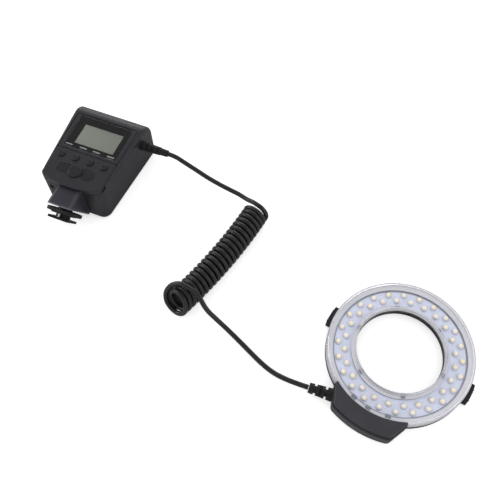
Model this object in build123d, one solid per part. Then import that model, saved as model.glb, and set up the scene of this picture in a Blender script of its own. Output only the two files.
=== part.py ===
from build123d import *
from math import atan2, cos, degrees, hypot, pi, radians, sin, sqrt, tan
import os

# Macro LED ring light: a lens ring with two rows of LEDs, a hot-shoe controller and a curly cord.
# Origin: centre of the ring's lens hole at its rear face, +Z the way the light shines. Millimetres.

# Clearances
CLEAR = 0.3
PIN_CLEAR = 0.05

# Ring light
RING_R = 58.0
RING_H = 15.0
BORE_R = 34.8
SEAT_R = 37.5
SEAT_DEPTH = 3.5
FLOOR_T = 1.5
HOUSING_WALL = 1.6
HOUSING_H = 4.5
INNER_WALL_H = 6.5
COVER_WALL = 1.4
COVER_ROUND = 2.3
BOARD_T = 1.2
BOARD_TOP = 8.0
SHELF_T = 1.25
OUTER_SHELF_W = 4.0
INNER_SHELF_W = 2.2
OUTER_ROW_IN = 4.0
INNER_ROW_IN = 5.0
ROW_PHASES = (4.9, 12.3)
LEDS_PER_ROW = 24
LED_R = 2.4
LED_H = 3.4
LED_BASE_R = 2.75
LED_BASE_H = 0.8
CLIP_COUNT = 6
CLIP_PHASE = 27.0
CLIP_T = 1.2
CLIP_HALF = 2.2
HOOK_HALF = 1.6
HOOK_H = 1.6
POST_COUNT = 4
POST_PHASE = 12.4
POST_GAP = 0.9
POST_R = 2.9
SCREW_R = 1.0
SCREW_HEAD_R = 1.9
SCREW_HEAD_H = 1.1

# Release tabs of the ring
TAB_ANGLE = 147.5
TAB_PROUD = 4.0
TAB_HALF_ANGLE = 8.2
TAB_LOW = 0.8
TAB_HIGH = 4.5
TAB_DEPTH = 5.2
TAB_SKIN = 1.6
TAB_TRAVEL = 1.8
YOKE_W = 3.8
YOKE_T = 1.0
YOKE_LOW = 1.8
ARM_W = 8.0
CLAW_W = 10.0
CLAW_REACH = 0.8
TAB_RIBS = 5
TAB_RIB_PITCH = 2.4

# Side box of the ring
BOX_ANGLE = 237.5
BOX_DEEP = 12.0
BOX_ARC = 20.0
BOX_TIP_ARC = 31.1
BOX_SPLIT = 12.2
BOX_TOP = 15.8
BOX_BULGE = 1.6
BOX_WALL = 1.8
BOX_CORNER = 4.5
BOX_LIP = 1.0
BOX_POST_IN = 5.0
BOX_POST_ARC = 14.0
BOX_POST_R = 2.4
SEAM = 0.3
RELIEF_Z = 6.5
RELIEF_HEADING = 161.2
RELIEF_OUT = 6.37
RELIEF_BACK = 25.51
RELIEF_L = 19.0
RELIEF_BASE_R = 5.2
RELIEF_TIP_R = 4.0
RELIEF_CORE_R = 2.9
RIB_GAPS = 3
RIB_GAP_W = 1.7

# Controller, in its own frame: x across, y up its panel, z out of the panel
PANEL_PLACE = (-269.06, 140.83)
PANEL_TURN = -21.6
BODY_D = 42.0
BODY_LOW = -4.8
BODY_HIGH = 81.0
HALF_W_LOW = 28.9
HALF_W_HIGH = 35.46
WALL = 2.2
LEDGE_W = 2.4
TOP_ROUND = 13.0
SIDE_ROUND = 3.4
BACK_ROUND = 4.0
LOW_CORNER = 8.0
PLATE_T = 4.0
PLATE_HIGH = 67.0
PLATE_HALF_HIGH = 29.8
PLATE_HALF_LOW = 28.3
PLATE_LOW = -3.0
PLATE_SAG = 4.4
PLATE_CORNER = 5.0
PLATE_TOP_CORNER = 2.0
PLATE_EDGE = 0.9
GROOVE_Y = 27.7
GROOVE_W = 1.1
GROOVE_D = 0.7
WINDOW_W = 51.0
WINDOW_LOW = 31.0
WINDOW_HIGH = 66.2
WINDOW_T = 1.9
LCD_W = 37.4
LCD_H = 21.4
LCD_X = 1.3
LCD_Y = 47.4
LCD_BORDER = 3.4
LCD_GLASS_T = 0.9
PCB_T = 1.2
PCB_HALF = 26.5
PCB_Y = (5.0, 60.0)
SWITCH_H = 1.5
SWITCH_GAP = 0.1
BUTTON_TRAVEL = 0.8
BUTTON_PROUD = 1.0
BUTTON_FLANGE = 0.8
SMALL_R = 3.2
SMALL_X = (-21.4, -7.6, 6.2, 20.0)
SMALL_Y = 21.4
PAD_X = -1.0
PAD_Y = 8.8
PAD_R = 6.2
PAD_GAP = 1.3
PAD_HALF = 5.2
LEFT_REACH = 16.0
LEFT_TIP_HALF = 3.4
RIGHT_REACH = 17.6
RIGHT_BEND = 13.0
COLUMN_R = 2.6
COLUMNS = ((-25.2, 64.4), (25.2, 64.4), (-7.5, 0.1), (7.5, 0.1))
LONG_SCREW_R = 1.15
LONG_HEAD_R = 2.2
LONG_HEAD_H = 1.8

# Batteries and their door
CELL_L = 49.5
CELL_NUB_R = 2.6
CELL_NUB_L = 1.0
CELL_GAP = 0.4
BOARD_GAP = 0.85
TRAY_LEFT = -25.15
TRAY_FLOOR = 0.55
CELL_LOW = 6.9
CELL_END_GAP = 1.2
TRAY_WALL = 1.0
CONTACT_T = 0.4
DOOR_Y = 35.0
DOOR_L = 54.0
DOOR_T = 2.0
DOOR_LOW = 7.6
DOOR_TOP_GAP = 2.0
HINGE_IN = 1.75
HINGE_Z = 5.5
BARREL_R = 1.6
BARREL_L = 40.0
DOOR_PIN_R = 0.75
BOSS_L = 4.0

# Sync jack on the low wall
JACK_X = -20.2
JACK_Z = 27.5
JACK_R = 1.8
JACK_DEEP = 7.5
JACK_COLLAR_R = 2.6
JACK_HALF = 2.9
JACK_HALF_H = 3.6

# Controller's cord exit on the right wall
EXIT_Y = 63.0
EXIT_Z = 29.0
EXIT_REACH = 59.0
EXIT_BASE_R = 4.25
EXIT_TIP_R = 3.2

# Hot shoe: neck, foot, lock wheel. The foot's axis leans from the panel
NECK_W = 22.0
NECK_BACK_Z = 3.0
NECK_ROUND = 3.0
SHOE_LEAN = 28.0
SHOE_Y = -17.9
SHOE_BELOW = 14.2
RISER_R = 6.2
FOOT_W = 18.6
FOOT_L = 19.5
FOOT_T = 2.0
RAIL_ROOM = 1.65
WHEEL_R = 15.05
WHEEL_T = 2.9
WHEEL_TOP = 2.1
KNURLS = 44
KNURL_DEEP = 0.6
CLAMP_T = 0.8
CLAMP_HALF = 8.7
CLAMP_TRAVEL = 1.25
LOCK_PIN_R = 0.8
LOCK_PIN_S = 7.75
CONTACT_R = 1.5
SMALL_CONTACT_R = 0.8
CONTACT_ACROSS = 6.3
CONTACT_BACK = 5.7

# Curly cord
CORD_D = 4.1
COIL_R = 9.5
COIL_TURNS = 23
COIL_PITCH = 4.85
COIL_START = (-112.4, 127.0)
COIL_HEADING = 239.9
COIL_BEND = -13.9
ENTRY_REACH = 2.5
ENTRY_TURNS = 0.6
ENTRY_BACK = 0.08
LEAN_OUT = 1.6
LEAN_OVER = 12.5
CORD_GAP = 0.6

FLOOR = (Align.CENTER, Align.CENTER, Align.MIN)


def disc(radius, low, high):
    return Pos(0, 0, low) * Cylinder(radius, high - low, align=FLOOR)


def tube(outer, inner, low, high):
    return disc(outer, low, high) - disc(inner, low - 1, high + 1)


def block(x0, x1, y0, y1, z0, z1):
    middle = Pos((x0 + x1) / 2, (y0 + y1) / 2, (z0 + z1) / 2)
    return middle * Box(x1 - x0, y1 - y0, z1 - z0)


def polar(radius, angle):
    return (radius * cos(radians(angle)), radius * sin(radians(angle)))


def spun(points):
    """A solid of revolution about Z from (radius, height) points."""
    return revolve(Plane.XZ * make_face(Polyline(*points, close=True)), Axis.Z)


def spun_round(points, radii):
    """The same, with its corners rounded."""
    return revolve(Plane.XZ * make_face(FilletPolyline(*points, radius=radii, close=True)), Axis.Z)


def save(shape, name):
    export_step(shape, "parts/" + name + ".step")


os.makedirs("parts", exist_ok=True)

# The ring's black rear housing: floor, outer wall, lens seat and inner wall
SEAT_WALL = SEAT_R + HOUSING_WALL
INNER_WALL = BORE_R + HOUSING_WALL
BOARD_LOW = BOARD_TOP - BOARD_T
housing = spun(
    [
        (RING_R, 0),
        (RING_R, HOUSING_H),
        (RING_R - HOUSING_WALL, HOUSING_H),
        (RING_R - HOUSING_WALL, FLOOR_T),
        (SEAT_WALL, FLOOR_T),
        (SEAT_WALL, SEAT_DEPTH + FLOOR_T),
        (INNER_WALL, SEAT_DEPTH + FLOOR_T),
        (INNER_WALL, INNER_WALL_H),
        (BORE_R, INNER_WALL_H),
        (BORE_R, SEAT_DEPTH),
        (SEAT_R, SEAT_DEPTH),
        (SEAT_R, 0),
    ]
)
cover_in = BORE_R + COVER_WALL
cover_out = RING_R - COVER_WALL
yoke_in = SEAT_WALL + TAB_TRAVEL + CLEAR
yoke_out = yoke_in + YOKE_W
post_r = yoke_out + TAB_TRAVEL + POST_GAP + POST_R
post_angles = [POST_PHASE + 360 / POST_COUNT * k for k in range(POST_COUNT)]
tab_angles = [TAB_ANGLE, TAB_ANGLE + 180]
tab_reach = RING_R + TAB_PROUD
tab_half = tab_reach * sin(radians(TAB_HALF_ANGLE))
tab_floor = sqrt((tab_reach - TAB_DEPTH) ** 2 - tab_half**2) - TAB_TRAVEL - CLEAR
claw_half = CLAW_W / 2 + CLEAR
for angle in post_angles:
    at = Pos(*polar(post_r, angle), 0)
    housing += at * disc(POST_R, 0, BOARD_LOW) & disc(cover_out - CLEAR, 0, BOARD_LOW)
for angle in post_angles:
    at = Pos(*polar(post_r, angle), 0)
    housing -= at * disc(SCREW_R + PIN_CLEAR, -1, BOARD_LOW + 1)
    housing -= at * disc(SCREW_HEAD_R + CLEAR, -1, SCREW_HEAD_H + CLEAR)
claw_roof = SEAT_DEPTH + FLOOR_T - 0.2
for angle in tab_angles:
    turn = Rot(0, 0, angle)
    housing -= turn * block(tab_floor, tab_reach, -tab_half - CLEAR, tab_half + CLEAR, -1, HOUSING_H + 1)
    housing -= turn * block(BORE_R + 1, SEAT_WALL + 1, -claw_half, claw_half, FLOOR_T, claw_roof)
save(housing, "ring_housing")

# Clear cover: an upside-down trough over the LEDs, with shelves that hold the board
COVER_LOW = HOUSING_H + CLEAR
SHELF_LOW = BOARD_TOP + PIN_CLEAR
SHELF_HIGH = SHELF_LOW + SHELF_T
outer_shelf = cover_out - OUTER_SHELF_W
inner_shelf = cover_in + INNER_SHELF_W
cover = spun_round(
    [
        (RING_R, COVER_LOW),
        (RING_R, RING_H),
        (BORE_R, RING_H),
        (BORE_R, INNER_WALL_H + CLEAR),
        (cover_in, INNER_WALL_H + CLEAR),
        (cover_in, SHELF_LOW),
        (inner_shelf, SHELF_LOW),
        (inner_shelf, SHELF_HIGH),
        (cover_in, SHELF_HIGH),
        (cover_in, RING_H - COVER_WALL),
        (cover_out, RING_H - COVER_WALL),
        (cover_out, SHELF_HIGH),
        (outer_shelf, SHELF_HIGH),
        (outer_shelf, SHELF_LOW),
        (cover_out, SHELF_LOW),
        (cover_out, COVER_LOW),
    ],
    [0, COVER_ROUND, 1.2, 0, 0, 0, 0, 0, 0, 0.8, 1.0, 0, 0, 0, 0, 0],
)
save(cover, "ring_cover")

# Six snap clips join the cover to the inner wall
clips = []
clip_in = INNER_WALL + PIN_CLEAR
clip_out = INNER_WALL + CLIP_T
for k in range(CLIP_COUNT):
    clip = block(clip_in, clip_out, -CLIP_HALF, CLIP_HALF, SEAT_DEPTH + FLOOR_T, BOARD_LOW - CLEAR)
    clip += block(cover_in + PIN_CLEAR, clip_out, -HOOK_HALF, HOOK_HALF, SHELF_HIGH, SHELF_HIGH + HOOK_H)
    clips += [Rot(0, 0, CLIP_PHASE + 360 / CLIP_COUNT * k) * clip]
hooks = Compound([solid for clip in clips for solid in clip.solids()])
save(hooks, "cover_clips")

# LED board, with blind holes for the four screws
board = tube(cover_out - CLEAR, clip_out + 2 * CLEAR, BOARD_LOW, BOARD_TOP)
for angle in post_angles:
    board -= Pos(*polar(post_r, angle), 0) * disc(SCREW_R + PIN_CLEAR, BOARD_LOW - 1, BOARD_LOW + BOARD_T / 2)
save(board, "led_board")

screws = []
for angle in post_angles:
    screw = disc(SCREW_R, SCREW_HEAD_H - 0.2, BOARD_LOW + BOARD_T / 2 - PIN_CLEAR)
    screw += disc(SCREW_HEAD_R, 0.2, SCREW_HEAD_H + CLEAR)
    screw -= block(-0.35, 0.35, -3, 3, -1, 0.65)
    screws += [Pos(*polar(post_r, angle), 0) * screw]
save(Compound(screws), "ring_screws")

# LEDs: a flanged base, a short barrel and a dome
leds = []
led = disc(LED_BASE_R, 0, LED_BASE_H) + disc(LED_R, 0, LED_H - LED_R)
led += Pos(0, 0, LED_H - LED_R) * Sphere(LED_R) & disc(LED_R, LED_BASE_H / 2, LED_H)
row_radii = (outer_shelf - OUTER_ROW_IN, inner_shelf + INNER_ROW_IN)
for radius, phase in zip(row_radii, ROW_PHASES):
    for k in range(LEDS_PER_ROW):
        place = Pos(*polar(radius, phase + 360 / LEDS_PER_ROW * k), BOARD_TOP)
        leds += [place * led]
save(Compound(leds), "leds")

# Two release yokes cross under the board: each has an arm on one side and a claw on the other,
# and its arm's end sits in the slot of a finger tab
yoke_layers = (YOKE_LOW, YOKE_LOW + YOKE_T + CLEAR)
arm_end = tab_reach - TAB_SKIN
for angle, low, side in zip(tab_angles, yoke_layers, ("left", "right")):
    high = low + YOKE_T
    yoke = tube(yoke_out, yoke_in, low, high)
    yoke += block(yoke_out - 1, arm_end, -ARM_W / 2, ARM_W / 2, low, high)
    yoke += block(-yoke_out + 1, -SEAT_R + CLAW_REACH, -CLAW_W / 2, CLAW_W / 2, low, high)
    save(Rot(0, 0, angle) * yoke, "release_yoke_" + side)
    tab = tube(tab_reach, tab_reach - TAB_DEPTH, TAB_LOW, TAB_HIGH)
    tab &= block(0, tab_reach + 1, -tab_half, tab_half, TAB_LOW, TAB_HIGH)
    for k in range(TAB_RIBS):
        rib = (k - (TAB_RIBS - 1) / 2) * TAB_RIB_PITCH
        tab += block(tab_reach - 1.2, tab_reach + 0.25, rib - 0.5, rib + 0.5, TAB_LOW + 0.5, TAB_HIGH - 0.5)
    slot_half = ARM_W / 2 + PIN_CLEAR
    tab -= block(0, arm_end + PIN_CLEAR, -slot_half, slot_half, low - PIN_CLEAR, high + PIN_CLEAR)
    save(Rot(0, 0, angle) * tab, "release_tab_" + side)


# Side box: a lower shell and a top plate that laps over the cover's rim
box_r = RING_R + BOX_DEEP
relief_root = polar(RING_R + RELIEF_OUT, BOX_ANGLE - RELIEF_BACK)


def box_outline(reach, arc, tip_reach, tip_arc):
    corner = polar(reach, arc)
    tip = polar(tip_reach, tip_arc)
    back = (RING_R * 0.9 * cos(radians(tip_arc)), tip[1] - 2.5)
    edges = [
        ThreePointArc(corner, (reach, 0), (corner[0], -corner[1])),
        Line((corner[0], -corner[1]), (tip[0], -tip[1])),
        Line((tip[0], -tip[1]), (back[0], -back[1])),
        Line((back[0], -back[1]), back),
        Line(back, tip),
        Line(tip, corner),
    ]
    return make_face(edges)


def box_solid(grow, low, high):
    face = box_outline(box_r + grow, BOX_ARC, RING_R + CLEAR + 0.4 + grow / 2, BOX_TIP_ARC)
    return Pos(0, 0, low) * extrude(face, high - low)


def upright_edges(shape, least):
    found = shape.edges().filter_by(Axis.Z)
    return [edge for edge in found if hypot(edge.center().X, edge.center().Y) > least]


def box_placed(shape):
    return Rot(0, 0, BOX_ANGLE) * shape


plate_low = BOX_SPLIT + SEAM
plate = box_solid(0, plate_low, BOX_TOP)
plate = fillet(upright_edges(plate, RING_R + 4), BOX_CORNER)
plate = fillet(plate.faces().sort_by(Axis.Z)[-1].edges(), 1.1)
plate -= disc(RING_R + CLEAR, 0, RING_H + PIN_CLEAR)
plate -= disc(RING_R - BOX_LIP, 0, BOX_TOP + 1)
shell = box_solid(BOX_BULGE, CLEAR, BOX_SPLIT)
shell = fillet(upright_edges(shell, RING_R + 4), BOX_CORNER)
shell = fillet(shell.faces().sort_by(Axis.Z)[0].edges(), 2.4)
shell -= disc(RING_R + CLEAR, -1, BOX_TOP)
room = box_solid(-BOX_WALL, BOX_WALL, BOX_SPLIT + 1) - disc(RING_R + CLEAR + BOX_WALL, -1, BOX_TOP)
shell_full = shell
shell -= room
box_posts = [polar(box_r - BOX_POST_IN, angle) for angle in (-BOX_POST_ARC, BOX_POST_ARC)]
for at in box_posts:
    shell += Pos(*at, 0) * disc(BOX_POST_R, BOX_WALL, BOX_SPLIT)
for at in box_posts:
    shell -= Pos(*at, 0) * disc(SCREW_R + PIN_CLEAR, -1, BOX_SPLIT + 1)
    shell -= Pos(*at, 0) * disc(SCREW_HEAD_R + CLEAR, -1, CLEAR + SCREW_HEAD_H + CLEAR)
    plate -= Pos(*at, 0) * disc(SCREW_R + PIN_CLEAR, plate_low - 1, plate_low + 2)
relief_out = (cos(radians(RELIEF_HEADING)), sin(radians(RELIEF_HEADING)), 0)
relief_plane = Plane(origin=(*relief_root, RELIEF_Z), x_dir=(0, 0, 1), z_dir=relief_out)
shell = box_placed(shell)
neck_hole = relief_plane * disc(RELIEF_CORE_R + 0.3 + CLEAR, -8, 8)
shell -= neck_hole
save(shell, "box_shell")
save(box_placed(plate), "box_plate")

box_screws = []
for at in box_posts:
    screw = disc(SCREW_R, SCREW_HEAD_H, plate_low + 2 - CLEAR)
    screw += disc(SCREW_HEAD_R, CLEAR + 0.2, CLEAR + SCREW_HEAD_H + CLEAR)
    screw -= block(-0.35, 0.35, -3, 3, -1, 0.9)
    box_screws += [box_placed(Pos(*at, 0) * screw)]
save(Compound(box_screws), "box_screws")

terminal_in = RING_R + CLEAR + BOX_WALL + 1.2
terminal_out = box_r - BOX_WALL - 6
terminal = block(terminal_in, terminal_out, -10, 10, BOX_SPLIT - 3.2, BOX_SPLIT - 2.0)
terminal_posts = block(terminal_in + 0.4, terminal_out - 0.4, -3, 3, BOX_SPLIT - 2.0, plate_low)
save(box_placed(terminal + terminal_posts), "terminal_board")


def relief(length, base_r, tip_r, core_r, flange_in, first_gap, gaps, gap_w):
    """A ribbed strain relief along +Z, from its flange inside the wall to its tip."""
    profile = [(0, -flange_in), (core_r, -flange_in), (core_r, 0), (base_r, 0), (tip_r, length), (0, length)]
    body = spun(profile)
    body += disc(core_r + 1.2, -flange_in - 1.6, -flange_in)
    pitch = (length - first_gap - 1.5) / gaps
    for k in range(gaps):
        low = first_gap + pitch * k
        cut = tube(base_r + 2, core_r, low, low + gap_w)
        across = 1.4
        web = block(-base_r, base_r, -across, across, low - 1, low + gap_w + 1)
        web = Rot(0, 0, 90 * (k % 2)) * web
        body -= cut - web
    return body


ring_relief = relief(RELIEF_L, RELIEF_BASE_R, RELIEF_TIP_R, RELIEF_CORE_R, 3.4, 4.6, RIB_GAPS, RIB_GAP_W)
ring_relief = relief_plane * ring_relief
outside = box_placed(box_solid(BOX_BULGE + 0.2, -1, BOX_TOP + 2))
outside -= relief_plane * disc(RELIEF_CORE_R + 0.2, -8, 8)
inner_flange = relief_plane * disc(RELIEF_CORE_R + 1.2, -5.0, -3.4)
ring_relief = ring_relief - outside + (inner_flange - box_placed(shell_full - room))
save(ring_relief.solids().sort_by(SortBy.VOLUME)[-1], "ring_relief")


# Controller
def half_width(y):
    return HALF_W_LOW + (HALF_W_HIGH - HALF_W_LOW) * (y - BODY_LOW) / (BODY_HIGH - BODY_LOW)


def placed(shape):
    return Pos(*PANEL_PLACE, 0) * Rot(0, 0, PANEL_TURN) * shape


def body_block(inset, low, high):
    y0 = BODY_LOW + inset
    y1 = BODY_HIGH - inset
    x0 = half_width(y0) - inset
    x1 = half_width(y1) - inset
    corner = LOW_CORNER - inset
    corners = [(-x0, y0), (x0, y0), (x1, y1), (-x1, y1)]
    plan = FilletPolyline(*corners, radius=[corner, corner, 0, 0], close=True)
    solid = Pos(0, 0, low) * extrude(make_face(plan), high - low)
    corners = [(y0 - 5, low - 1), (y1, low - 1), (y1, high), (y0 - 5, high)]
    side = FilletPolyline(*corners, radius=[0, 0, TOP_ROUND - inset, 0], close=True)
    return solid & extrude(Plane.YZ * make_face(side), 2 * HALF_W_HIGH, both=True)


def plate_face(grow):
    y0 = PLATE_LOW - grow
    y1 = PLATE_HIGH + grow
    x0 = PLATE_HALF_LOW + grow
    x1 = PLATE_HALF_HIGH + grow
    edges = [
        Line((x0, y0), (x1, y1)),
        Line((x1, y1), (-x1, y1)),
        Line((-x1, y1), (-x0, y0)),
        ThreePointArc((-x0, y0), (0, y0 - PLATE_SAG), (x0, y0)),
    ]
    face = make_face(edges)
    face = fillet(face.vertices().sort_by(Axis.Y)[:2], max(PLATE_CORNER + grow, 0.5))
    return fillet(face.vertices().sort_by(Axis.Y)[-2:], max(PLATE_TOP_CORNER + grow, 0.5))


PLATE_Z = BODY_D - PLATE_T
main_shell = body_block(0, 0, BODY_D)
side_chain = []
for edge in main_shell.edges():
    middle = edge.center()
    on_side = abs(abs(middle.X) - half_width(middle.Y)) < 0.3
    if on_side and middle.Z > 1 and middle.Y > LOW_CORNER:
        side_chain += [edge]
main_shell = fillet(side_chain, SIDE_ROUND)
main_shell = fillet(main_shell.faces().sort_by(Axis.Z)[0].edges(), BACK_ROUND)
main_shell -= body_block(WALL, WALL, PLATE_Z - 2.5)
main_shell -= Pos(0, 0, PLATE_Z) * extrude(plate_face(CLEAR / 2), PLATE_T + 1)
ledge_room = Pos(0, 0, PLATE_Z - 4) * extrude(plate_face(-LEDGE_W), PLATE_T + 1)
main_shell -= ledge_room & body_block(WALL, 0, BODY_D)
low_rim = PLATE_LOW + PLATE_CORNER + 3
main_shell -= block(-HALF_W_HIGH, HALF_W_HIGH, BODY_LOW - 1, low_rim, PLATE_Z, BODY_D + 1)
for x, y in COLUMNS:
    column = Pos(x, y, 0) * disc(COLUMN_R, WALL, PLATE_Z)
    main_shell += column
for x, y in COLUMNS:
    main_shell -= Pos(x, y, 0) * disc(LONG_SCREW_R + PIN_CLEAR, -1, PLATE_Z + 1)
    main_shell -= Pos(x, y, 0) * disc(LONG_HEAD_R + CLEAR, -1, CLEAR + LONG_HEAD_H + CLEAR)

# the battery door's frame: x into the body, y along the left wall, z as before
side_lean = degrees(atan2(HALF_W_HIGH - HALF_W_LOW, BODY_HIGH - BODY_LOW))
door_place = Pos(-half_width(DOOR_Y), DOOR_Y, 0) * Rot(0, 0, side_lean)
door_half = DOOR_L / 2
door_high = PLATE_Z - DOOR_TOP_GAP
hinge_half = BARREL_L / 2
hinge_room = BARREL_R + CLEAR + 0.1
sill_in = HINGE_IN + BARREL_R + CLEAR + 1.0
sill = block(0, sill_in, -door_half - 1.5, door_half + 1.5, WALL - 0.2, DOOR_LOW + 0.9)
main_shell += door_place * sill & body_block(0.05, 1, PLATE_Z)
door_room = door_half + CLEAR
opening = block(-3, WALL + 1.5, -door_room, door_room, DOOR_LOW - CLEAR, door_high + CLEAR)
barrel_room = Pos(HINGE_IN, 0, HINGE_Z) * Rot(90, 0, 0) * Cylinder(hinge_room, BARREL_L + 2 * CLEAR)
slot = block(-3, HINGE_IN, -hinge_half - CLEAR, hinge_half + CLEAR, HINGE_Z - hinge_room, DOOR_LOW)
slot += block(-3, HINGE_IN + hinge_room, -hinge_half - CLEAR, hinge_half + CLEAR, HINGE_Z, DOOR_LOW)
pin_bore = Pos(HINGE_IN, 0, HINGE_Z) * Rot(90, 0, 0) * Cylinder(DOOR_PIN_R + PIN_CLEAR, BARREL_L + 2 * BOSS_L)
swing_r = hypot(HINGE_IN, DOOR_LOW - HINGE_Z) + CLEAR
swing = Pos(HINGE_IN, 0, HINGE_Z) * Rot(90, 0, 0) * Cylinder(swing_r, DOOR_L + 2 * CLEAR)
swing &= block(-3, HINGE_IN, -door_room, door_room, HINGE_Z, DOOR_LOW)
main_shell -= door_place * (opening + barrel_room + slot + pin_bore + swing)

# openings for the jack, the cord and the shoe's wires
main_shell -= Pos(JACK_X, 0, JACK_Z) * Rot(90, 0, 0) * Cylinder(JACK_COLLAR_R + PIN_CLEAR, 20)
exit_x = half_width(EXIT_Y)
main_shell -= Pos(exit_x, EXIT_Y, EXIT_Z) * Rot(0, 90, 0) * Cylinder(RELIEF_CORE_R + CLEAR, 12)
save(placed(main_shell), "main_shell")

door = block(0, DOOR_T, -door_half, door_half, DOOR_LOW, door_high)
door += block(HINGE_IN - BARREL_R, DOOR_T, -hinge_half, hinge_half, HINGE_Z, DOOR_LOW + 0.2)
door += Pos(HINGE_IN, 0, HINGE_Z) * Rot(90, 0, 0) * Cylinder(BARREL_R, BARREL_L)
door -= Pos(HINGE_IN, 0, HINGE_Z) * Rot(90, 0, 0) * Cylinder(DOOR_PIN_R + PIN_CLEAR, BARREL_L + 2)
for k in range(5):
    line = door_high - 5 - 1.8 * k
    door -= block(-1, 0.4, -6, 6, line, line + 0.8)
save(placed(door_place * door), "battery_door")
door_pin = Pos(HINGE_IN, 0, HINGE_Z) * Rot(90, 0, 0) * Cylinder(DOOR_PIN_R, BARREL_L + 2 * BOSS_L - 1)
save(placed(door_place * door_pin), "door_hinge_pin")

# Front cover with its button holes, groove and window recess
window_x = WINDOW_W / 2
lcd_half_w = LCD_W / 2 + LCD_BORDER
lcd_half_h = LCD_H / 2 + LCD_BORDER


def pad_shape(side, shrink):
    """A shaped button beside the round one: a blunt wedge on the left, a D on the right."""
    inner = PAD_R + PAD_GAP + shrink
    half = PAD_HALF - shrink
    if side < 0:
        reach = LEFT_REACH - shrink
        tip = LEFT_TIP_HALF - shrink
        face = make_face(Polyline((-reach, -tip), (-inner, -half), (-inner, half), (-reach, tip), close=True))
    else:
        arc = ThreePointArc((RIGHT_BEND, half), (RIGHT_REACH - shrink, 0), (RIGHT_BEND, -half))
        back = Polyline((RIGHT_BEND, -half), (inner, -half), (inner, half), (RIGHT_BEND, half))
        face = make_face([back, arc])
    solid = extrude(face, BODY_D)
    return Pos(PAD_X, PAD_Y, 0) * fillet(solid.edges().filter_by(Axis.Z), 0.8)


front = Pos(0, 0, PLATE_Z + 0.1) * extrude(plate_face(-CLEAR / 2), PLATE_T - 0.1)
front = fillet(front.faces().sort_by(Axis.Z)[-1].edges(), PLATE_EDGE)
groove_half = GROOVE_W / 2
groove = block(-HALF_W_HIGH, HALF_W_HIGH, -groove_half, groove_half, BODY_D - GROOVE_D, BODY_D + 1)
front -= Pos(0, GROOVE_Y, 0) * groove
for side in (-1, 1):
    notch = Pos(side * (PLATE_HALF_LOW + 0.9), GROOVE_Y, 0) * disc(1.3, BODY_D - 1.6, BODY_D + 1)
    front -= notch
window_z = BODY_D - WINDOW_T
front -= block(-window_x - 0.1, window_x + 0.1, WINDOW_LOW - 0.1, WINDOW_HIGH + 0.1, window_z, BODY_D + 1)
lcd_room = (lcd_half_w + 0.2, lcd_half_h + 0.2)
front -= Pos(LCD_X, LCD_Y, 0) * block(-lcd_room[0], lcd_room[0], -lcd_room[1], lcd_room[1], 0, BODY_D)
for x in SMALL_X:
    front -= Pos(x, SMALL_Y, 0) * disc(SMALL_R + CLEAR, 0, BODY_D + 1)
front -= Pos(PAD_X, PAD_Y, 0) * disc(PAD_R + CLEAR, 0, BODY_D + 1)
for side in (-1, 1):
    front -= pad_shape(side, -CLEAR)
for x, y in COLUMNS:
    front -= Pos(x, y, 0) * disc(LONG_SCREW_R + PIN_CLEAR, PLATE_Z - 1, PLATE_Z + 1.4)
save(placed(front), "front_cover")

window = block(-window_x, window_x, WINDOW_LOW, WINDOW_HIGH, window_z + 0.02, BODY_D)
window = fillet(window.edges().filter_by(Axis.Z), 0.6)
save(placed(window), "display_window")

long_screws = []
for x, y in COLUMNS:
    screw = disc(LONG_SCREW_R, LONG_HEAD_H, PLATE_Z + 1.3)
    screw += disc(LONG_HEAD_R, CLEAR, CLEAR + LONG_HEAD_H + CLEAR)
    screw -= block(-0.4, 0.4, -4, 4, -1, 0.9) + block(-4, 4, -0.4, 0.4, -1, 0.9)
    long_screws += [Pos(x, y, 0) * screw]
save(placed(Compound(long_screws)), "shell_screws")

# Buttons: a cap through the front cover, a flange behind it and a switch under each
flange_high = PLATE_Z + 0.1 - CLEAR
flange_low = flange_high - BUTTON_FLANGE
button_top = BODY_D + BUTTON_PROUD
for k, x in enumerate(SMALL_X):
    cap = fillet(disc(SMALL_R, flange_high, button_top).faces().sort_by(Axis.Z)[-1].edges(), 0.7)
    cap += disc(SMALL_R + 1.0, flange_low, flange_high)
    save(placed(Pos(x, SMALL_Y, 0) * cap), "small_button_" + str(k + 1))
cap = fillet(disc(PAD_R, flange_high, button_top).faces().sort_by(Axis.Z)[-1].edges(), 0.8)
cap += disc(PAD_R + 0.6, flange_low, flange_high)
save(placed(Pos(PAD_X, PAD_Y, 0) * cap), "round_button")
for side, name in ((-1, "left_button"), (1, "right_button")):
    cap = pad_shape(side, 0) & Pos(PAD_X, PAD_Y, 0) * disc(RIGHT_REACH + 3, flange_high, button_top)
    cap = fillet(cap.faces().sort_by(Axis.Z)[-1].edges(), 0.6)
    flange = pad_shape(side, -0.5) & Pos(PAD_X, PAD_Y, 0) * disc(RIGHT_REACH + 3, flange_low, flange_high)
    flange -= Pos(PAD_X, PAD_Y, 0) * disc(PAD_R + 0.6 + CLEAR, 0, BODY_D)
    save(placed(cap + flange), name)

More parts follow.
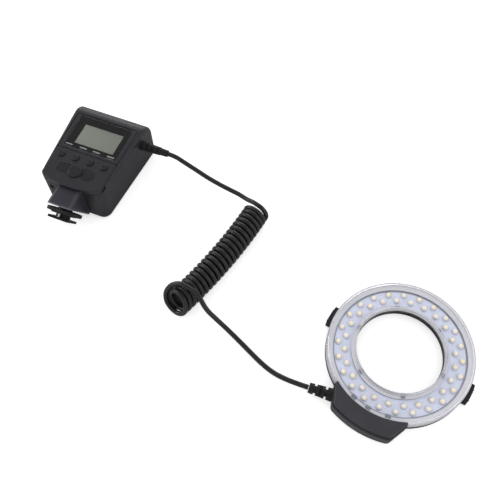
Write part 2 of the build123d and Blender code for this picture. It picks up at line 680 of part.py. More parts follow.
# Main board, switches and display module
pcb_top = flange_low - BUTTON_TRAVEL - SWITCH_GAP - SWITCH_H
pcb_low = pcb_top - PCB_T
main_board = block(-PCB_HALF, PCB_HALF, PCB_Y[0], PCB_Y[1], pcb_low, pcb_top)
main_board += block(-PCB_HALF + 6, PCB_HALF - 6, PCB_Y[1] - 1, PCB_Y[1] + 4, pcb_low, pcb_top)
for x, y in COLUMNS:
    main_board -= Pos(x, y, 0) * disc(COLUMN_R + CLEAR, 0, BODY_D)
save(placed(main_board), "main_board")
pad_left = PAD_X - (PAD_R + LEFT_REACH) / 2 - 0.4
pad_right = PAD_X + (PAD_R + RIGHT_REACH) / 2 + 0.6
switch_at = [(x, SMALL_Y) for x in SMALL_X] + [(pad_left, PAD_Y), (PAD_X, PAD_Y), (pad_right, PAD_Y)]
switches = []
for x, y in switch_at:
    switch = block(-2, 2, -2, 2, pcb_top, pcb_top + 1.0) + disc(1.0, pcb_top, pcb_top + SWITCH_H)
    switches += [Pos(x, y, 0) * switch]
save(placed(Compound(switches)), "tact_switches")
lcd_top = window_z - 0.1
glass_low = lcd_top - LCD_GLASS_T
glass_x = LCD_W / 2
glass_y = LCD_H / 2
lcd_gap = 0.1
lcd = block(-lcd_half_w, lcd_half_w, -lcd_half_h, lcd_half_h, pcb_top, lcd_top)
lcd -= block(-glass_x - lcd_gap, glass_x + lcd_gap, -glass_y - lcd_gap, glass_y + lcd_gap, glass_low, BODY_D)
save(placed(Pos(LCD_X, LCD_Y, 0) * lcd), "lcd_frame")
lcd_glass = block(-glass_x, glass_x, -glass_y, glass_y, glass_low, lcd_top)
save(placed(Pos(LCD_X, LCD_Y, 0) * lcd_glass), "lcd_glass")

# Four cells lie in a tray behind the door, with contact plates at both ends. They fill its depth
tray_low = WALL + 0.1
cell_floor = tray_low + TRAY_FLOOR
cell_r = (pcb_low - BOARD_GAP - CELL_GAP - CLEAR - cell_floor) / 4
cell_pitch = 2 * cell_r + CELL_GAP
cell_x = (TRAY_LEFT + CLEAR + cell_r, TRAY_LEFT + CLEAR + cell_r + cell_pitch)
cell_z = (cell_floor + CLEAR + cell_r, cell_floor + CLEAR + cell_r + cell_pitch)
tray_x0 = TRAY_LEFT
tray_x1 = cell_x[1] + cell_r + CLEAR
tray_y0 = CELL_LOW - CELL_END_GAP
tray_y1 = CELL_LOW + CELL_L + CELL_NUB_L + CELL_END_GAP
tray_top = cell_z[1] + cell_r + 0.2
tray = block(tray_x0, tray_x1 + TRAY_WALL, tray_y0 - TRAY_WALL, tray_y1 + TRAY_WALL, tray_low, tray_top)
tray -= block(tray_x0 - 1, tray_x1, tray_y0, tray_y1, cell_floor, tray_top + 1)
save(placed(tray), "battery_tray")
cells = []
terminals = []
for i, x in enumerate(cell_x):
    for j, z in enumerate(cell_z):
        flip = (i + j) % 2 == 1
        cell = disc(cell_r, 0, CELL_L) + disc(CELL_NUB_R, CELL_L, CELL_L + CELL_NUB_L)
        cell = fillet(cell.edges().filter_by(GeomType.CIRCLE).sort_by(Axis.Z)[:1], 0.6)
        if flip:
            cell = Pos(0, 0, CELL_L + CELL_NUB_L) * Rot(180, 0, 0) * cell
        cells += [Pos(x, CELL_LOW, z) * Rot(-90, 0, 0) * cell]
        for y0, y1 in ((tray_y0, CELL_LOW), (CELL_LOW + CELL_L + CELL_NUB_L, tray_y1)):
            leaf_at = y0 if y0 == tray_y0 else y1 - CONTACT_T
            leaf = block(x - 5, x + 5, leaf_at, leaf_at + CONTACT_T, z - 5, z + 5)
            leaf += Pos(x, (y0 + y1) / 2, z) * Rot(90, 0, 0) * Cylinder(1.8, y1 - y0 - 0.05)
            terminals += [leaf]
save(placed(Compound(cells)), "battery_cells")
save(placed(Compound(terminals)), "battery_contacts")

# Sync jack
jack_in = BODY_LOW + JACK_DEEP + 1.0
jack = Pos(JACK_X, BODY_LOW, JACK_Z) * Rot(-90, 0, 0) * disc(JACK_COLLAR_R, 0, WALL + CLEAR + 0.1)
jack_body = block(-JACK_HALF, JACK_HALF, BODY_LOW + WALL + CLEAR, jack_in, -JACK_HALF_H, JACK_HALF_H)
jack += Pos(JACK_X, 0, JACK_Z) * jack_body
jack -= Pos(JACK_X, BODY_LOW, JACK_Z) * Rot(-90, 0, 0) * disc(JACK_R, -1, JACK_DEEP)
save(placed(jack), "jack_socket")

# Strain relief of the controller, stepped
exit_plane = Plane(origin=(exit_x, EXIT_Y, EXIT_Z), x_dir=(0, 1, 0), z_dir=(1, 0, 0))
exit_l = EXIT_REACH - exit_x
exit_relief = spun(
    [
        (0, -5.2),
        (RELIEF_CORE_R + 1.2, -5.2),
        (RELIEF_CORE_R + 1.2, -3.4),
        (RELIEF_CORE_R, -3.4),
        (RELIEF_CORE_R, 0.4),
        (EXIT_BASE_R, 0.4),
        (EXIT_BASE_R - 0.3, 5),
        (EXIT_BASE_R - 0.3, exit_l * 0.42),
        (EXIT_TIP_R + 0.6, exit_l * 0.42 + 0.6),
        (EXIT_TIP_R + 0.4, exit_l * 0.72),
        (EXIT_TIP_R, exit_l * 0.72 + 0.5),
        (EXIT_TIP_R - 0.2, exit_l),
        (0, exit_l),
    ]
)
for k in range(3):
    low = exit_l * 0.2 + 5.2 * k
    cut = tube(EXIT_BASE_R + 1, RELIEF_CORE_R - 0.2, low, low + 1.3)
    web = Rot(0, 0, 90 * (k % 2)) * block(-6, 6, -1.2, 1.2, low - 1, low + 3)
    exit_relief -= cut - web
exit_relief = exit_plane * exit_relief
inside_wall = body_block(-0.05, 0, BODY_D)
inside_wall -= exit_plane * disc(RELIEF_CORE_R + 1.25, -6, -3.3)
inside_wall -= exit_plane * disc(RELIEF_CORE_R + 0.01, -6, 3)
exit_relief -= inside_wall
save(placed(exit_relief), "controller_relief")

# Shoe neck: square to the panel in front, cut on the slant where the foot fixes
lean = radians(SHOE_LEAN)
out_y = -cos(lean)
out_z = -sin(lean)
slope = out_z / out_y
shoe_z = PLATE_Z - SHOE_BELOW


def slant_y(z):
    return SHOE_Y - (z - shoe_z) * slope


neck_back = [(slant_y(NECK_BACK_Z), NECK_BACK_Z), (BODY_LOW, NECK_BACK_Z)]
neck_front = [(BODY_LOW, PLATE_Z), (slant_y(PLATE_Z), PLATE_Z)]
neck = make_face(Polyline(*neck_back, *neck_front, close=True))
neck = extrude(Plane.YZ * neck, NECK_W / 2, both=True)
front_sides = [edge for edge in neck.faces().sort_by(Axis.Z)[-1].edges().filter_by(Axis.Y)]
neck = fillet(front_sides, NECK_ROUND)
shoe_plane = Plane(origin=(0, SHOE_Y, shoe_z), x_dir=(1, 0, 0), z_dir=(0, out_y, out_z))
shoe_screws = [(x, y) for x in (-3.4, 3.4) for y in (-3.4, 3.4)]
for x, y in shoe_screws:
    neck -= shoe_plane * (Pos(x, y, 0) * disc(SCREW_R + PIN_CLEAR, -5.3, 1))
save(placed(neck), "shoe_neck")

# Foot with its riser; a lock pin passes through it
clamp_top = WHEEL_TOP + WHEEL_T + CLEAR
FOOT_TOP = clamp_top + CLAMP_T + CLAMP_TRAVEL + RAIL_ROOM
FOOT_LOW = FOOT_TOP + FOOT_T
foot_plate = block(-FOOT_W / 2, FOOT_W / 2, -FOOT_L / 2, FOOT_L / 2, FOOT_TOP, FOOT_LOW)
foot = disc(RISER_R, 0, FOOT_TOP + 0.5)
foot += fillet(foot_plate.edges().filter_by(Axis.Z), 1.0)
foot -= Pos(0, LOCK_PIN_S, 0) * disc(LOCK_PIN_R + CLEAR, FOOT_TOP - 1, FOOT_LOW + 1)
for x, y in shoe_screws:
    foot -= Pos(x, y, 0) * disc(SCREW_R + PIN_CLEAR, -1, FOOT_LOW + 1)
    foot -= Pos(x, y, 0) * disc(SCREW_HEAD_R - 0.2 + CLEAR, FOOT_LOW - SCREW_HEAD_H - 0.2, FOOT_LOW + 1)
foot -= disc(CONTACT_R + 0.1, FOOT_LOW - 0.8, FOOT_LOW + 1)
contact_spots = [(-CONTACT_ACROSS, 0.0), (CONTACT_ACROSS, 0.0), (0.0, -CONTACT_BACK)]
for x, y in contact_spots:
    foot -= Pos(x, y, 0) * disc(SMALL_CONTACT_R + 0.1, FOOT_LOW - 0.8, FOOT_LOW + 1)
save(placed(shoe_plane * foot), "shoe_foot")
pins = [disc(CONTACT_R, FOOT_LOW - 0.8, FOOT_LOW + 0.25)]
for x, y in contact_spots:
    pins += [Pos(x, y, 0) * disc(SMALL_CONTACT_R, FOOT_LOW - 0.8, FOOT_LOW + 0.25)]
save(placed(shoe_plane * Compound(pins)), "shoe_contacts")
foot_screws = []
for x, y in shoe_screws:
    screw = disc(SCREW_R, -5.0, FOOT_LOW - SCREW_HEAD_H)
    screw += disc(SCREW_HEAD_R - 0.2, FOOT_LOW - SCREW_HEAD_H - 0.2, FOOT_LOW - 0.1)
    screw -= block(-0.3, 0.3, -3, 3, FOOT_LOW - 0.6, FOOT_LOW + 1)
    foot_screws += [Pos(x, y, 0) * screw]
save(placed(shoe_plane * Compound(foot_screws)), "shoe_screws")

# Lock wheel and the clamp plate that it drives
tooth = []
for k in range(2 * KNURLS):
    radius = WHEEL_R if k % 2 == 0 else WHEEL_R - KNURL_DEEP
    tooth += [polar(radius, 180 / KNURLS * k)]
wheel = Pos(0, 0, WHEEL_TOP) * extrude(make_face(Polyline(*tooth, close=True)), WHEEL_T)
wheel -= disc(RISER_R + CLEAR, 0, FOOT_TOP)
wheel -= tube(WHEEL_R - 2.4, RISER_R + 2.4, WHEEL_TOP - 1, WHEEL_TOP + 0.6)
save(placed(shoe_plane * wheel), "lock_wheel")
clamp = block(-CLAMP_HALF, CLAMP_HALF, -CLAMP_HALF, CLAMP_HALF, clamp_top, clamp_top + CLAMP_T)
clamp = fillet(clamp.edges().filter_by(Axis.Z), 2.0)
clamp -= disc(RISER_R + CLEAR, 0, FOOT_TOP)
clamp -= Pos(0, LOCK_PIN_S, 0) * disc(LOCK_PIN_R + PIN_CLEAR, 0, FOOT_TOP)
save(placed(shoe_plane * clamp), "clamp_plate")
lock_pin = Pos(0, LOCK_PIN_S, 0) * disc(LOCK_PIN_R, clamp_top, FOOT_LOW - 0.4)
save(placed(shoe_plane * lock_pin), "lock_pin")


# Curly cord: one unbroken wire between two leads
def smooth(v):
    v = max(0.0, min(1.0, v))
    return v * v * (3 - 2 * v)


def coil_axis(s):
    turn = radians(COIL_BEND) / (COIL_TURNS * COIL_PITCH)
    first = radians(COIL_HEADING)
    now = first + turn * s
    x = COIL_START[0] + (sin(now) - sin(first)) / turn
    y = COIL_START[1] - (cos(now) - cos(first)) / turn
    return x, y, now


def coil_point(t):
    s = COIL_PITCH * t - ENTRY_REACH * max(0.0, 1 - t / ENTRY_TURNS) ** 2
    last = t - (COIL_TURNS - 1)
    s += LEAN_OUT * smooth((last - 0.1) / 0.45) - LEAN_OVER * smooth((last - 0.6) / 0.45)
    r = COIL_R + (CORD_D + CORD_GAP) * smooth((last - 0.52) / 0.22)
    x, y, heading = coil_axis(s)
    phase = pi / 2 - 2 * pi * t
    across = r * cos(phase)
    z = CORD_D / 2 + COIL_R + r * sin(phase)
    return Vector(x - sin(heading) * across, y + cos(heading) * across, z)


def coil_heading(t):
    step = 1e-4
    return (coil_point(t + step) - coil_point(t - step)).normalized()


def biarc(p0, t0, p1, t1):
    """Two tangent arcs from p0 along t0 to p1 along t1."""
    v = p1 - p0
    both = t0 + t1
    a = 2 * (1 - t0.dot(t1))
    b = 2 * v.dot(both)
    c = -v.dot(v)
    d = -c / b if abs(a) < 1e-9 else (-b + sqrt(b * b - 4 * a * c)) / (2 * a)
    joint = (p0 + p1 + (t0 - t1) * d) * 0.5
    return [TangentArc(p0, joint, tangent=t0), TangentArc(joint, p1, tangent=v - both * d)]


def swept(path, start, heading):
    section = Plane(origin=start, z_dir=heading) * Circle(CORD_D / 2)
    return sweep(section, path=path)


stations = [-ENTRY_BACK] + [k / 4 for k in range(1, 4 * COIL_TURNS - 3)]
stations += [COIL_TURNS - 1 + 0.125 * k for k in range(1, 9)]
coil_edges = []
coil_in = coil_heading(-ENTRY_BACK)
coil_out = coil_heading(COIL_TURNS)
coil_first = coil_point(-ENTRY_BACK) - coil_in * CORD_D
coil_last = coil_point(COIL_TURNS) + coil_out * CORD_D
coil_edges += [Line(coil_first, coil_point(-ENTRY_BACK))]
for t0, t1 in zip(stations, stations[1:]):
    coil_edges += biarc(coil_point(t0), coil_heading(t0), coil_point(t1), coil_heading(t1))
coil_edges += [Line(coil_point(COIL_TURNS), coil_last)]
coil_wire = Wire(coil_edges)
curl = swept(coil_wire, coil_first, coil_in)
save(curl, "cord_curl")

SAMPLES = 2400
samples = [coil_wire.position_at(k / SAMPLES) for k in range(SAMPLES + 1)]
step = coil_wire.length / SAMPLES
reach = int(4 * CORD_D / step)
least = 1e9
for i in range(len(samples)):
    for j in range(i + reach, min(len(samples), i + int(2.3 * 2 * pi * (COIL_R + 5) / step))):
        gap = (samples[j] - samples[i]).length - CORD_D
        least = min(least, gap)
low = min(point.Z for point in samples) - CORD_D / 2
print("curl length", round(coil_wire.length, 1))
print("least gap to itself", round(least, 2), "lowest", round(low, 3))
print("curl volume", round(curl.volume), "section times length", round(coil_wire.length * pi * CORD_D**2 / 4))


def lead(points, name):
    points = [Vector(*point) for point in points]
    radii = []
    for a, b, c in zip(points, points[1:], points[2:]):
        turn = (b - a).get_angle(c - b)
        radii += [0.45 * min((b - a).length, (c - b).length) / tan(radians(turn) / 2)]
    path = FilletPolyline(*points, radius=radii)
    solid = swept(path, points[0], (points[1] - points[0]).normalized())
    runs = [round((b - a).length, 1) for a, b in zip(points, points[1:])]
    print(name, "runs", runs, "radii", [round(radius, 1) for radius in radii])
    expected = path.length * pi * CORD_D**2 / 4
    print(name, "length", round(path.length, 1), "volume", round(solid.volume), "expected", round(expected))
    save(solid, name)
    return path.length


panel_x = Vector(cos(radians(PANEL_TURN)), sin(radians(PANEL_TURN)), 0)
panel_y = Vector(-sin(radians(PANEL_TURN)), cos(radians(PANEL_TURN)), 0)
exit_tip = Vector(*PANEL_PLACE, EXIT_Z) + panel_x * EXIT_REACH + panel_y * EXIT_Y
relief_tip = Vector(*relief_root, RELIEF_Z) + Vector(*relief_out) * RELIEF_L
upper = [
    exit_tip,
    exit_tip + panel_x * 7,
    (-178.3, 172.2, 26.6),
    (-171.4, 168.7, 22.6),
    (-163.5, 165.2, 18.6),
    (-155.5, 161.8, 15.2),
    (-147.0, 158.3, 12.8),
    (-138.5, 154.0, 11.8),
    (-130.3, 148.7, 12.6),
    coil_first - coil_in * 8.5,
    coil_first,
]
lower = [
    coil_last,
    coil_last + coil_out * 7.5,
    (-153.3, 33.2, 19.6),
    (-145.2, 27.6, 12.0),
    (-136.0, 20.4, 6.0),
    (-125.9, 10.7, 2.8),
    (-117.1, 1.5, 2.1),
    (-108.4, -7.6, 2.1),
    (-99.4, -15.1, 2.3),
    (-90.6, -20.5, 4.4),
    relief_tip + Vector(*relief_out) * 8,
    relief_tip,
]
total = lead(upper, "cord_upper") + lead(lower, "cord_lower") + coil_wire.length
print("cord length in all", round(total, 1))
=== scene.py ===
# %% [markdown]
# # A macro LED ring light, dressed for its portrait
# The object is a ring of small lamps that sits round a camera lens, a hand controller that slides into
# the camera's hot shoe, and the curly cord between them. Its shapes come from a CAD model, so this
# script only adds what a CAD model lacks: the cord as one soft line, the lamps' lenses, the frosted and
# painted linings under the clear cover, the printed border behind the window, and a finish for every
# surface. Lengths are written in millimetres and turned to metres where Blender needs them.

from math import atan2, cos, pi, radians, sin

import bpy
import numpy as np
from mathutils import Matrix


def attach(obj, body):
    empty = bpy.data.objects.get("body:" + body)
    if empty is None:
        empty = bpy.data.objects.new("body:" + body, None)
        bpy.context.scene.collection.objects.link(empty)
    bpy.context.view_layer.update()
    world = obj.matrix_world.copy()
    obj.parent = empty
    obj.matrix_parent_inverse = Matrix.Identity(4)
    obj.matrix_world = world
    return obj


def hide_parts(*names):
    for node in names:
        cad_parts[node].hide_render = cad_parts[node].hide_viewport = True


MM = 0.001
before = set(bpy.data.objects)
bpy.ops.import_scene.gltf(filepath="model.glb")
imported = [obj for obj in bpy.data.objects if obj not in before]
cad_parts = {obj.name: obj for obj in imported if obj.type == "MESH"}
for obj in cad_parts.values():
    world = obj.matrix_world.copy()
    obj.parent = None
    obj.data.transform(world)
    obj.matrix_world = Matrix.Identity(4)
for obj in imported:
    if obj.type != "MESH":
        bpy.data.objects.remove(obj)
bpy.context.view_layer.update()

# %% [markdown]
# ## Camera
# The picture is taken from above the ring's near side, looking down and away. The ring's two circles
# fix the view: an ellipse tells the tilt, and how much the far side shrinks tells the distance. One
# could turn the camera by hand until it fits, but a camera aimed at a point needs only two positions.

# %% Camera aimed at the middle of the group
EYE = np.array([-117.88, -175.86, 500.02])
AIM = np.array([-117.88, 96.08, 0.0])
SENSOR_WIDTH = 36.0
FOCAL_LENGTH = 47.16
lens = bpy.data.cameras.new("camera")
lens.sensor_width = SENSOR_WIDTH
lens.lens = FOCAL_LENGTH
camera = bpy.data.objects.new("camera", lens)
bpy.context.scene.collection.objects.link(camera)
camera.location = EYE * MM
gaze = AIM - EYE
camera.rotation_euler = (atan2(gaze[1], -gaze[2]), 0.0, 0.0)
bpy.context.scene.camera = camera
print("camera", round(float(np.linalg.norm(gaze))), "mm away")

# %% [markdown]
# ## The curly cord
# The cord is one soft wire. It leaves the controller straight, slopes down into a tight curl of 23 turns
# that lies on the table, and comes out at the curl's far end on its way to the ring. It could be a swept
# tube in three parts, but joints would show. One NURBS line through all its points has no joints, and a
# round bevel gives it its thickness: the bevel is one metre deep, and each point's radius scales it down
# to half the wire, because Blender widens a line's box by that radius. The curl's turns are simply more
# points of the same line, 24 for each turn, worked out from an axis that bends gently in the plane of
# the table.

# %% The curl's own points
CORD_D = 4.1
COIL_R = 9.5
COIL_TURNS = 23
COIL_PITCH = 4.85
COIL_START = (-112.4, 127.0)
COIL_HEADING = radians(239.9)
COIL_BEND = radians(-13.9)
CURL_LENGTH = COIL_TURNS * COIL_PITCH
POINTS_PER_TURN = 24
# The line enters the curl this many turns before its first full turn starts
CURL_FROM = -0.08
# How the first turns tuck back and crowd towards the lead: lengths in mm, and over how many turns
TUCK = 2.5
TUCK_TURNS = 0.6
CROWD = 1.4
CROWD_TURNS = 0.3
SQUEEZE = 0.5
SQUEEZE_TURNS = 2.0
RELAX_TURNS = 14.0
# How the last turns fan out, and how the very last one widens and leans back over the curl
FAN = 3.2
FAN_TURNS = 5.0
LOOSE = CORD_D + 0.6
LOOSE_START = 0.52
LOOSE_TURNS = 0.22
LEAN = 12.5
LEAN_START = 0.6
LEAN_TURNS = 0.45


def eased(v):
    """0 below 0, 1 above 1, and 3v^2 - 2v^3 in between."""
    v = np.clip(v, 0.0, 1.0)
    return v * v * (3.0 - 2.0 * v)


def curl_points(t):
    """Points of the curl after t turns. An axis of slow constant turning runs along the table; the
    wire goes round it at a radius that widens by LOOSE mm at the end, where the last turn leans LEAN
    mm back over the curl. The wire starts TUCK mm further back along the axis, the first turns crowd
    CROWD mm closer to the lead, each of the next two is SQUEEZE mm closer to its neighbour, and the
    turns after those relax back to the even pitch. Over the last FAN_TURNS turns each turn's foot runs
    FAN mm ahead and its top as much behind, so the turns fan out towards the camera."""
    turning = COIL_BEND / CURL_LENGTH
    last = t - (COIL_TURNS - 1)
    phase = pi / 2 - 2 * pi * t
    along = COIL_PITCH * t - TUCK * np.maximum(0.0, 1.0 - t / TUCK_TURNS) ** 2
    crowd = CROWD * eased(t / CROWD_TURNS) + SQUEEZE * np.clip(t - CROWD_TURNS, 0.0, SQUEEZE_TURNS)
    along = along - crowd * eased(1.0 - (t - (CROWD_TURNS + SQUEEZE_TURNS)) / RELAX_TURNS)
    along = along - FAN * eased(1.0 + last / FAN_TURNS) * np.sin(phase)
    along = along - LEAN * eased((last - LEAN_START) / LEAN_TURNS)
    radius = COIL_R + LOOSE * eased((last - LOOSE_START) / LOOSE_TURNS)
    heading = COIL_HEADING + turning * along
    x = COIL_START[0] + (np.sin(heading) - sin(COIL_HEADING)) / turning
    y = COIL_START[1] - (np.cos(heading) - cos(COIL_HEADING)) / turning
    across = radius * np.cos(phase)
    height = CORD_D / 2 + COIL_R + radius * np.sin(phase)
    return np.stack([x - np.sin(heading) * across, y + np.cos(heading) * across, height], axis=-1)


def curl_heading(t):
    """The unit direction of the wire after t turns, from two points close together."""
    step = curl_points(np.array([t + 1e-4])) - curl_points(np.array([t - 1e-4]))
    return step[0] / np.linalg.norm(step)


turns = np.concatenate([[CURL_FROM], np.arange(1, COIL_TURNS * POINTS_PER_TURN + 1) / POINTS_PER_TURN])
curl = curl_points(turns)
into_curl = curl_heading(CURL_FROM)
out_of_curl = curl_heading(COIL_TURNS)
curl_first = curl[0] - into_curl * CORD_D
curl_last = curl[-1] + out_of_curl * CORD_D
print("curl points", len(curl), "from", curl_first.round(1), "to", curl_last.round(1))

# %% [markdown]
# The two leads are set from the photograph, with a point wherever the real wire changes its
# mind. Their first and last points come from the strain reliefs, so the wire leaves each one straight.

# %% The whole route, from the controller to the ring
PANEL_PLACE = np.array([-269.06, 140.83, 0.0])
PANEL_TURN = radians(-21.6)
panel_x = np.array([cos(PANEL_TURN), sin(PANEL_TURN), 0.0])
panel_y = np.array([-sin(PANEL_TURN), cos(PANEL_TURN), 0.0])
EXIT_X = 59.0
EXIT_Y = 63.0
EXIT_Z = 29.0
exit_tip = PANEL_PLACE + panel_x * EXIT_X + panel_y * EXIT_Y + np.array([0.0, 0.0, EXIT_Z])
RING_R = 58.0
BOX_ANGLE = 237.5
RELIEF_ANGLE = 25.51
RELIEF_AWAY = 6.37
RELIEF_Z = 6.5
RELIEF_LENGTH = 19.0
RELIEF_HEADING = radians(161.2)
root_r = RING_R + RELIEF_AWAY
root_angle = radians(BOX_ANGLE - RELIEF_ANGLE)
relief_root = np.array([root_r * cos(root_angle), root_r * sin(root_angle), RELIEF_Z])
relief_out = np.array([cos(RELIEF_HEADING), sin(RELIEF_HEADING), 0.0])
relief_tip = relief_root + relief_out * RELIEF_LENGTH
upper_lead = [
    exit_tip,
    exit_tip + panel_x * 7,
    (-176.9, 170.4, 27.0),
    (-166.7, 164.9, 23.5),
    (-156.6, 159.4, 19.6),
    (-146.6, 154.4, 16.6),
    (-136.6, 149.5, 14.6),
    (-127.9, 144.8, 14.2),
    curl_first - into_curl * 5.0,
    curl_first,
]
lower_lead = [
    curl_last,
    curl_last + out_of_curl * 7.5,
    (-153.3, 31.9, 19.6),
    (-145.2, 26.7, 12.0),
    (-136.0, 20.0, 6.0),
    (-125.9, 10.7, 2.8),
    (-117.1, 1.5, 2.1),
    (-108.4, -7.6, 2.1),
    (-99.4, -15.1, 2.3),
    (-90.6, -20.5, 4.4),
    relief_tip + relief_out * 8,
    relief_tip,
]
route = np.concatenate([np.array(upper_lead), curl, np.array(lower_lead)]) * MM

# %% The cord as one bevelled line
line = bpy.data.curves.new("cord", "CURVE")
line.dimensions = "3D"
line.resolution_u = 5
line.render_resolution_u = 5
line.bevel_depth = 1.0
line.bevel_resolution = 4
line.use_fill_caps = True
spline = line.splines.new("NURBS")
spline.points.add(len(route) - 1)
spline.points.foreach_set("co", np.column_stack([route, np.ones(len(route))]).ravel())
spline.points.foreach_set("radius", np.full(len(route), CORD_D / 2 * MM))
spline.order_u = 3
spline.use_endpoint_u = True
cord = bpy.data.objects.new("cord", line)
bpy.context.scene.collection.objects.link(cord)
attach(cord, "body")
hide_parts("cord_upper", "cord_curl", "cord_lower")
runs = np.linalg.norm(np.diff(route, axis=0), axis=1)
print("cord points", len(route), "runs added up", round(float(runs.sum()), 3), "m")

# %% [markdown]
# ## Node and colour helpers
# A material is a small tree of nodes. Adding one always takes the same three steps: make it, choose its
# options, and set or link its sockets. So there is one helper for that and no helper for any one kind.
# Colours are picked as sRGB hex, as on a screen, while shaders mix linear light, so one function turns
# them. Noise and brick patterns want a scale in repeats per metre, and per_mm turns a real size to it.

# %% Helpers for colours, scales and nodes
def linear(hex_text):
    """sRGB hex to linear light: ((c + 0.055) / 1.055) to the power 2.4, or c / 12.92 near black."""
    c = np.array([int(hex_text[k : k + 2], 16) for k in (1, 3, 5)]) / 255
    c = np.where(c <= 0.04045, c / 12.92, ((c + 0.055) / 1.055) ** 2.4)
    return (*c.tolist(), 1.0)


def per_mm(size):
    """Repeats per metre of a pattern whose features are size millimetres across."""
    return 1000.0 / size


def add(tree, kind, inputs=None, **settings):
    """Adds one node: settings are its own options, inputs maps a socket to a value or to an output."""
    made = tree.nodes.new(kind)
    for name, value in settings.items():
        setattr(made, name, value)
    for socket, value in (inputs or {}).items():
        if isinstance(value, bpy.types.NodeSocket):
            tree.links.new(value, made.inputs[socket])
        else:
            made.inputs[socket].default_value = value
    return made


def new_material(name):
    """An empty material and its tree."""
    made = bpy.data.materials.new(name)
    made.use_nodes = True
    made.node_tree.nodes.clear()
    return made, made.node_tree


# A Mix node has one set of sockets for each kind of value, and these are the ones for colours.
MIX_A = 6
MIX_B = 7
MIX_OUT = 2
print("white is", [round(v, 2) for v in linear("#FFFFFF")], "a 2 mm pattern repeats", per_mm(2), "a metre")

# %% [markdown]
# ## Floor
# The photograph has no visible table, only white. A pale floor keeps the soft shadow under the object,
# and some glow of its own, which only the camera sees, also through clear plastic, lifts it to white.
# Lighting it harder instead would have bleached the object too. Below the curl and inside its last loop,
# where no light gets in between the turns, the glow is left out and a painted shadow turns the paper dark
# grey, so the chinks between the turns stay dark. Surfaces that mirror the floor see it greyer, as they
# would see the dim studio beyond it.

# %% A wide pale floor
FLOOR_HALF = 3.0
FLOOR_DOWN = 0.0001
floor_mesh = bpy.data.meshes.new("floor")
corners = np.array([[-1, -1], [1, -1], [1, 1], [-1, 1]]) * FLOOR_HALF
floor_mesh.from_pydata(np.column_stack([corners, np.full(4, -FLOOR_DOWN)]).tolist(), [], [(0, 1, 2, 3)])
floor = bpy.data.objects.new("floor", floor_mesh)
bpy.context.scene.collection.objects.link(floor)

GLOW = 0.52
paper, tree = new_material("matt white paper sweep")
path = add(tree, "ShaderNodeLightPath")
seen = add(
    tree,
    "ShaderNodeMath",
    {0: path.outputs["Is Camera Ray"], 1: path.outputs["Is Transmission Ray"]},
    operation="MAXIMUM",
)
lift = add(tree, "ShaderNodeMath", {0: seen.outputs[0], 1: GLOW}, operation="MULTIPLY")

# The painted shadow follows the curl's bent axis, seen a little beyond it. Each pair is where the painted
# shadow starts to fade and where it ends, in mm from the axis, from the middle of the axis, and from the
# last loop's middle.
SHADE_OFF = 3.5
SHADE_UP = 2.0
BESIDE_AXIS = (7.5, 11.5)
ALONG_AXIS = (53.5, 57.5)
LOOP_MIDDLE = (-178.5, 51.0, 0.0)
ROUND_LOOP = (10.3, 12.0)
curl_bend_r = CURL_LENGTH / abs(COIL_BEND)
bend_centre = np.array(COIL_START) + curl_bend_r * np.array([sin(COIL_HEADING), -cos(COIL_HEADING)])
mid_heading = COIL_HEADING + COIL_BEND / 2
curl_middle = bend_centre - curl_bend_r * np.array([sin(mid_heading), -cos(mid_heading)])
shade_middle = curl_middle - SHADE_UP * np.array([cos(mid_heading), sin(mid_heading)])
place = add(tree, "ShaderNodeTexCoord").outputs["Object"]
from_centre = add(
    tree,
    "ShaderNodeVectorMath",
    {0: place, 1: (bend_centre[0] * MM, (bend_centre[1] + SHADE_OFF) * MM, 0.0)},
    operation="DISTANCE",
)
across = add(
    tree,
    "ShaderNodeMath",
    {0: from_centre.outputs["Value"], 1: curl_bend_r * MM},
    operation="SUBTRACT",
)
across = add(tree, "ShaderNodeMath", {0: across.outputs[0]}, operation="ABSOLUTE")
beside = add(
    tree,
    "ShaderNodeMapRange",
    {"Value": across.outputs[0], "From Min": BESIDE_AXIS[0] * MM, "From Max": BESIDE_AXIS[1] * MM},
    interpolation_type="SMOOTHSTEP",
)
from_middle = add(
    tree,
    "ShaderNodeVectorMath",
    {0: place, 1: (shade_middle[0] * MM, (shade_middle[1] + SHADE_OFF) * MM, 0.0)},
    operation="DISTANCE",
)
beyond = add(
    tree,
    "ShaderNodeMapRange",
    {"Value": from_middle.outputs["Value"], "From Min": ALONG_AXIS[0] * MM, "From Max": ALONG_AXIS[1] * MM},
    interpolation_type="SMOOTHSTEP",
)
off_curl = add(tree, "ShaderNodeMath", {0: beside.outputs[0], 1: beyond.outputs[0]}, operation="MAXIMUM")
from_loop = add(
    tree,
    "ShaderNodeVectorMath",
    {0: place, 1: tuple(v * MM for v in LOOP_MIDDLE)},
    operation="DISTANCE",
)
round_loop = add(
    tree,
    "ShaderNodeMapRange",
    {"Value": from_loop.outputs["Value"], "From Min": ROUND_LOOP[0] * MM, "From Max": ROUND_LOOP[1] * MM},
    interpolation_type="SMOOTHSTEP",
)
# Painted shadow mask: 0 under the curl and inside its last loop, 1 on the open floor.
open_floor = add(
    tree,
    "ShaderNodeMath",
    {0: off_curl.outputs[0], 1: round_loop.outputs[0]},
    operation="MINIMUM",
)
lift = add(tree, "ShaderNodeMath", {0: lift.outputs[0], 1: open_floor.outputs[0]}, operation="MULTIPLY")
glow = add(tree, "ShaderNodeEmission", {"Color": (1.0, 1.0, 1.0, 1.0), "Strength": lift.outputs[0]})
fibre = add(tree, "ShaderNodeTexNoise", {"Scale": per_mm(6), "Detail": 3.0})
tint = add(
    tree,
    "ShaderNodeMix",
    {0: fibre.outputs["Fac"], MIX_A: linear("#E8E8E8"), MIX_B: linear("#EBEBEB")},
    data_type="RGBA",
)
mirrored = add(
    tree,
    "ShaderNodeMix",
    {0: path.outputs["Is Glossy Ray"], MIX_A: tint.outputs[MIX_OUT], MIX_B: linear("#C8C8C8")},
    data_type="RGBA",
)
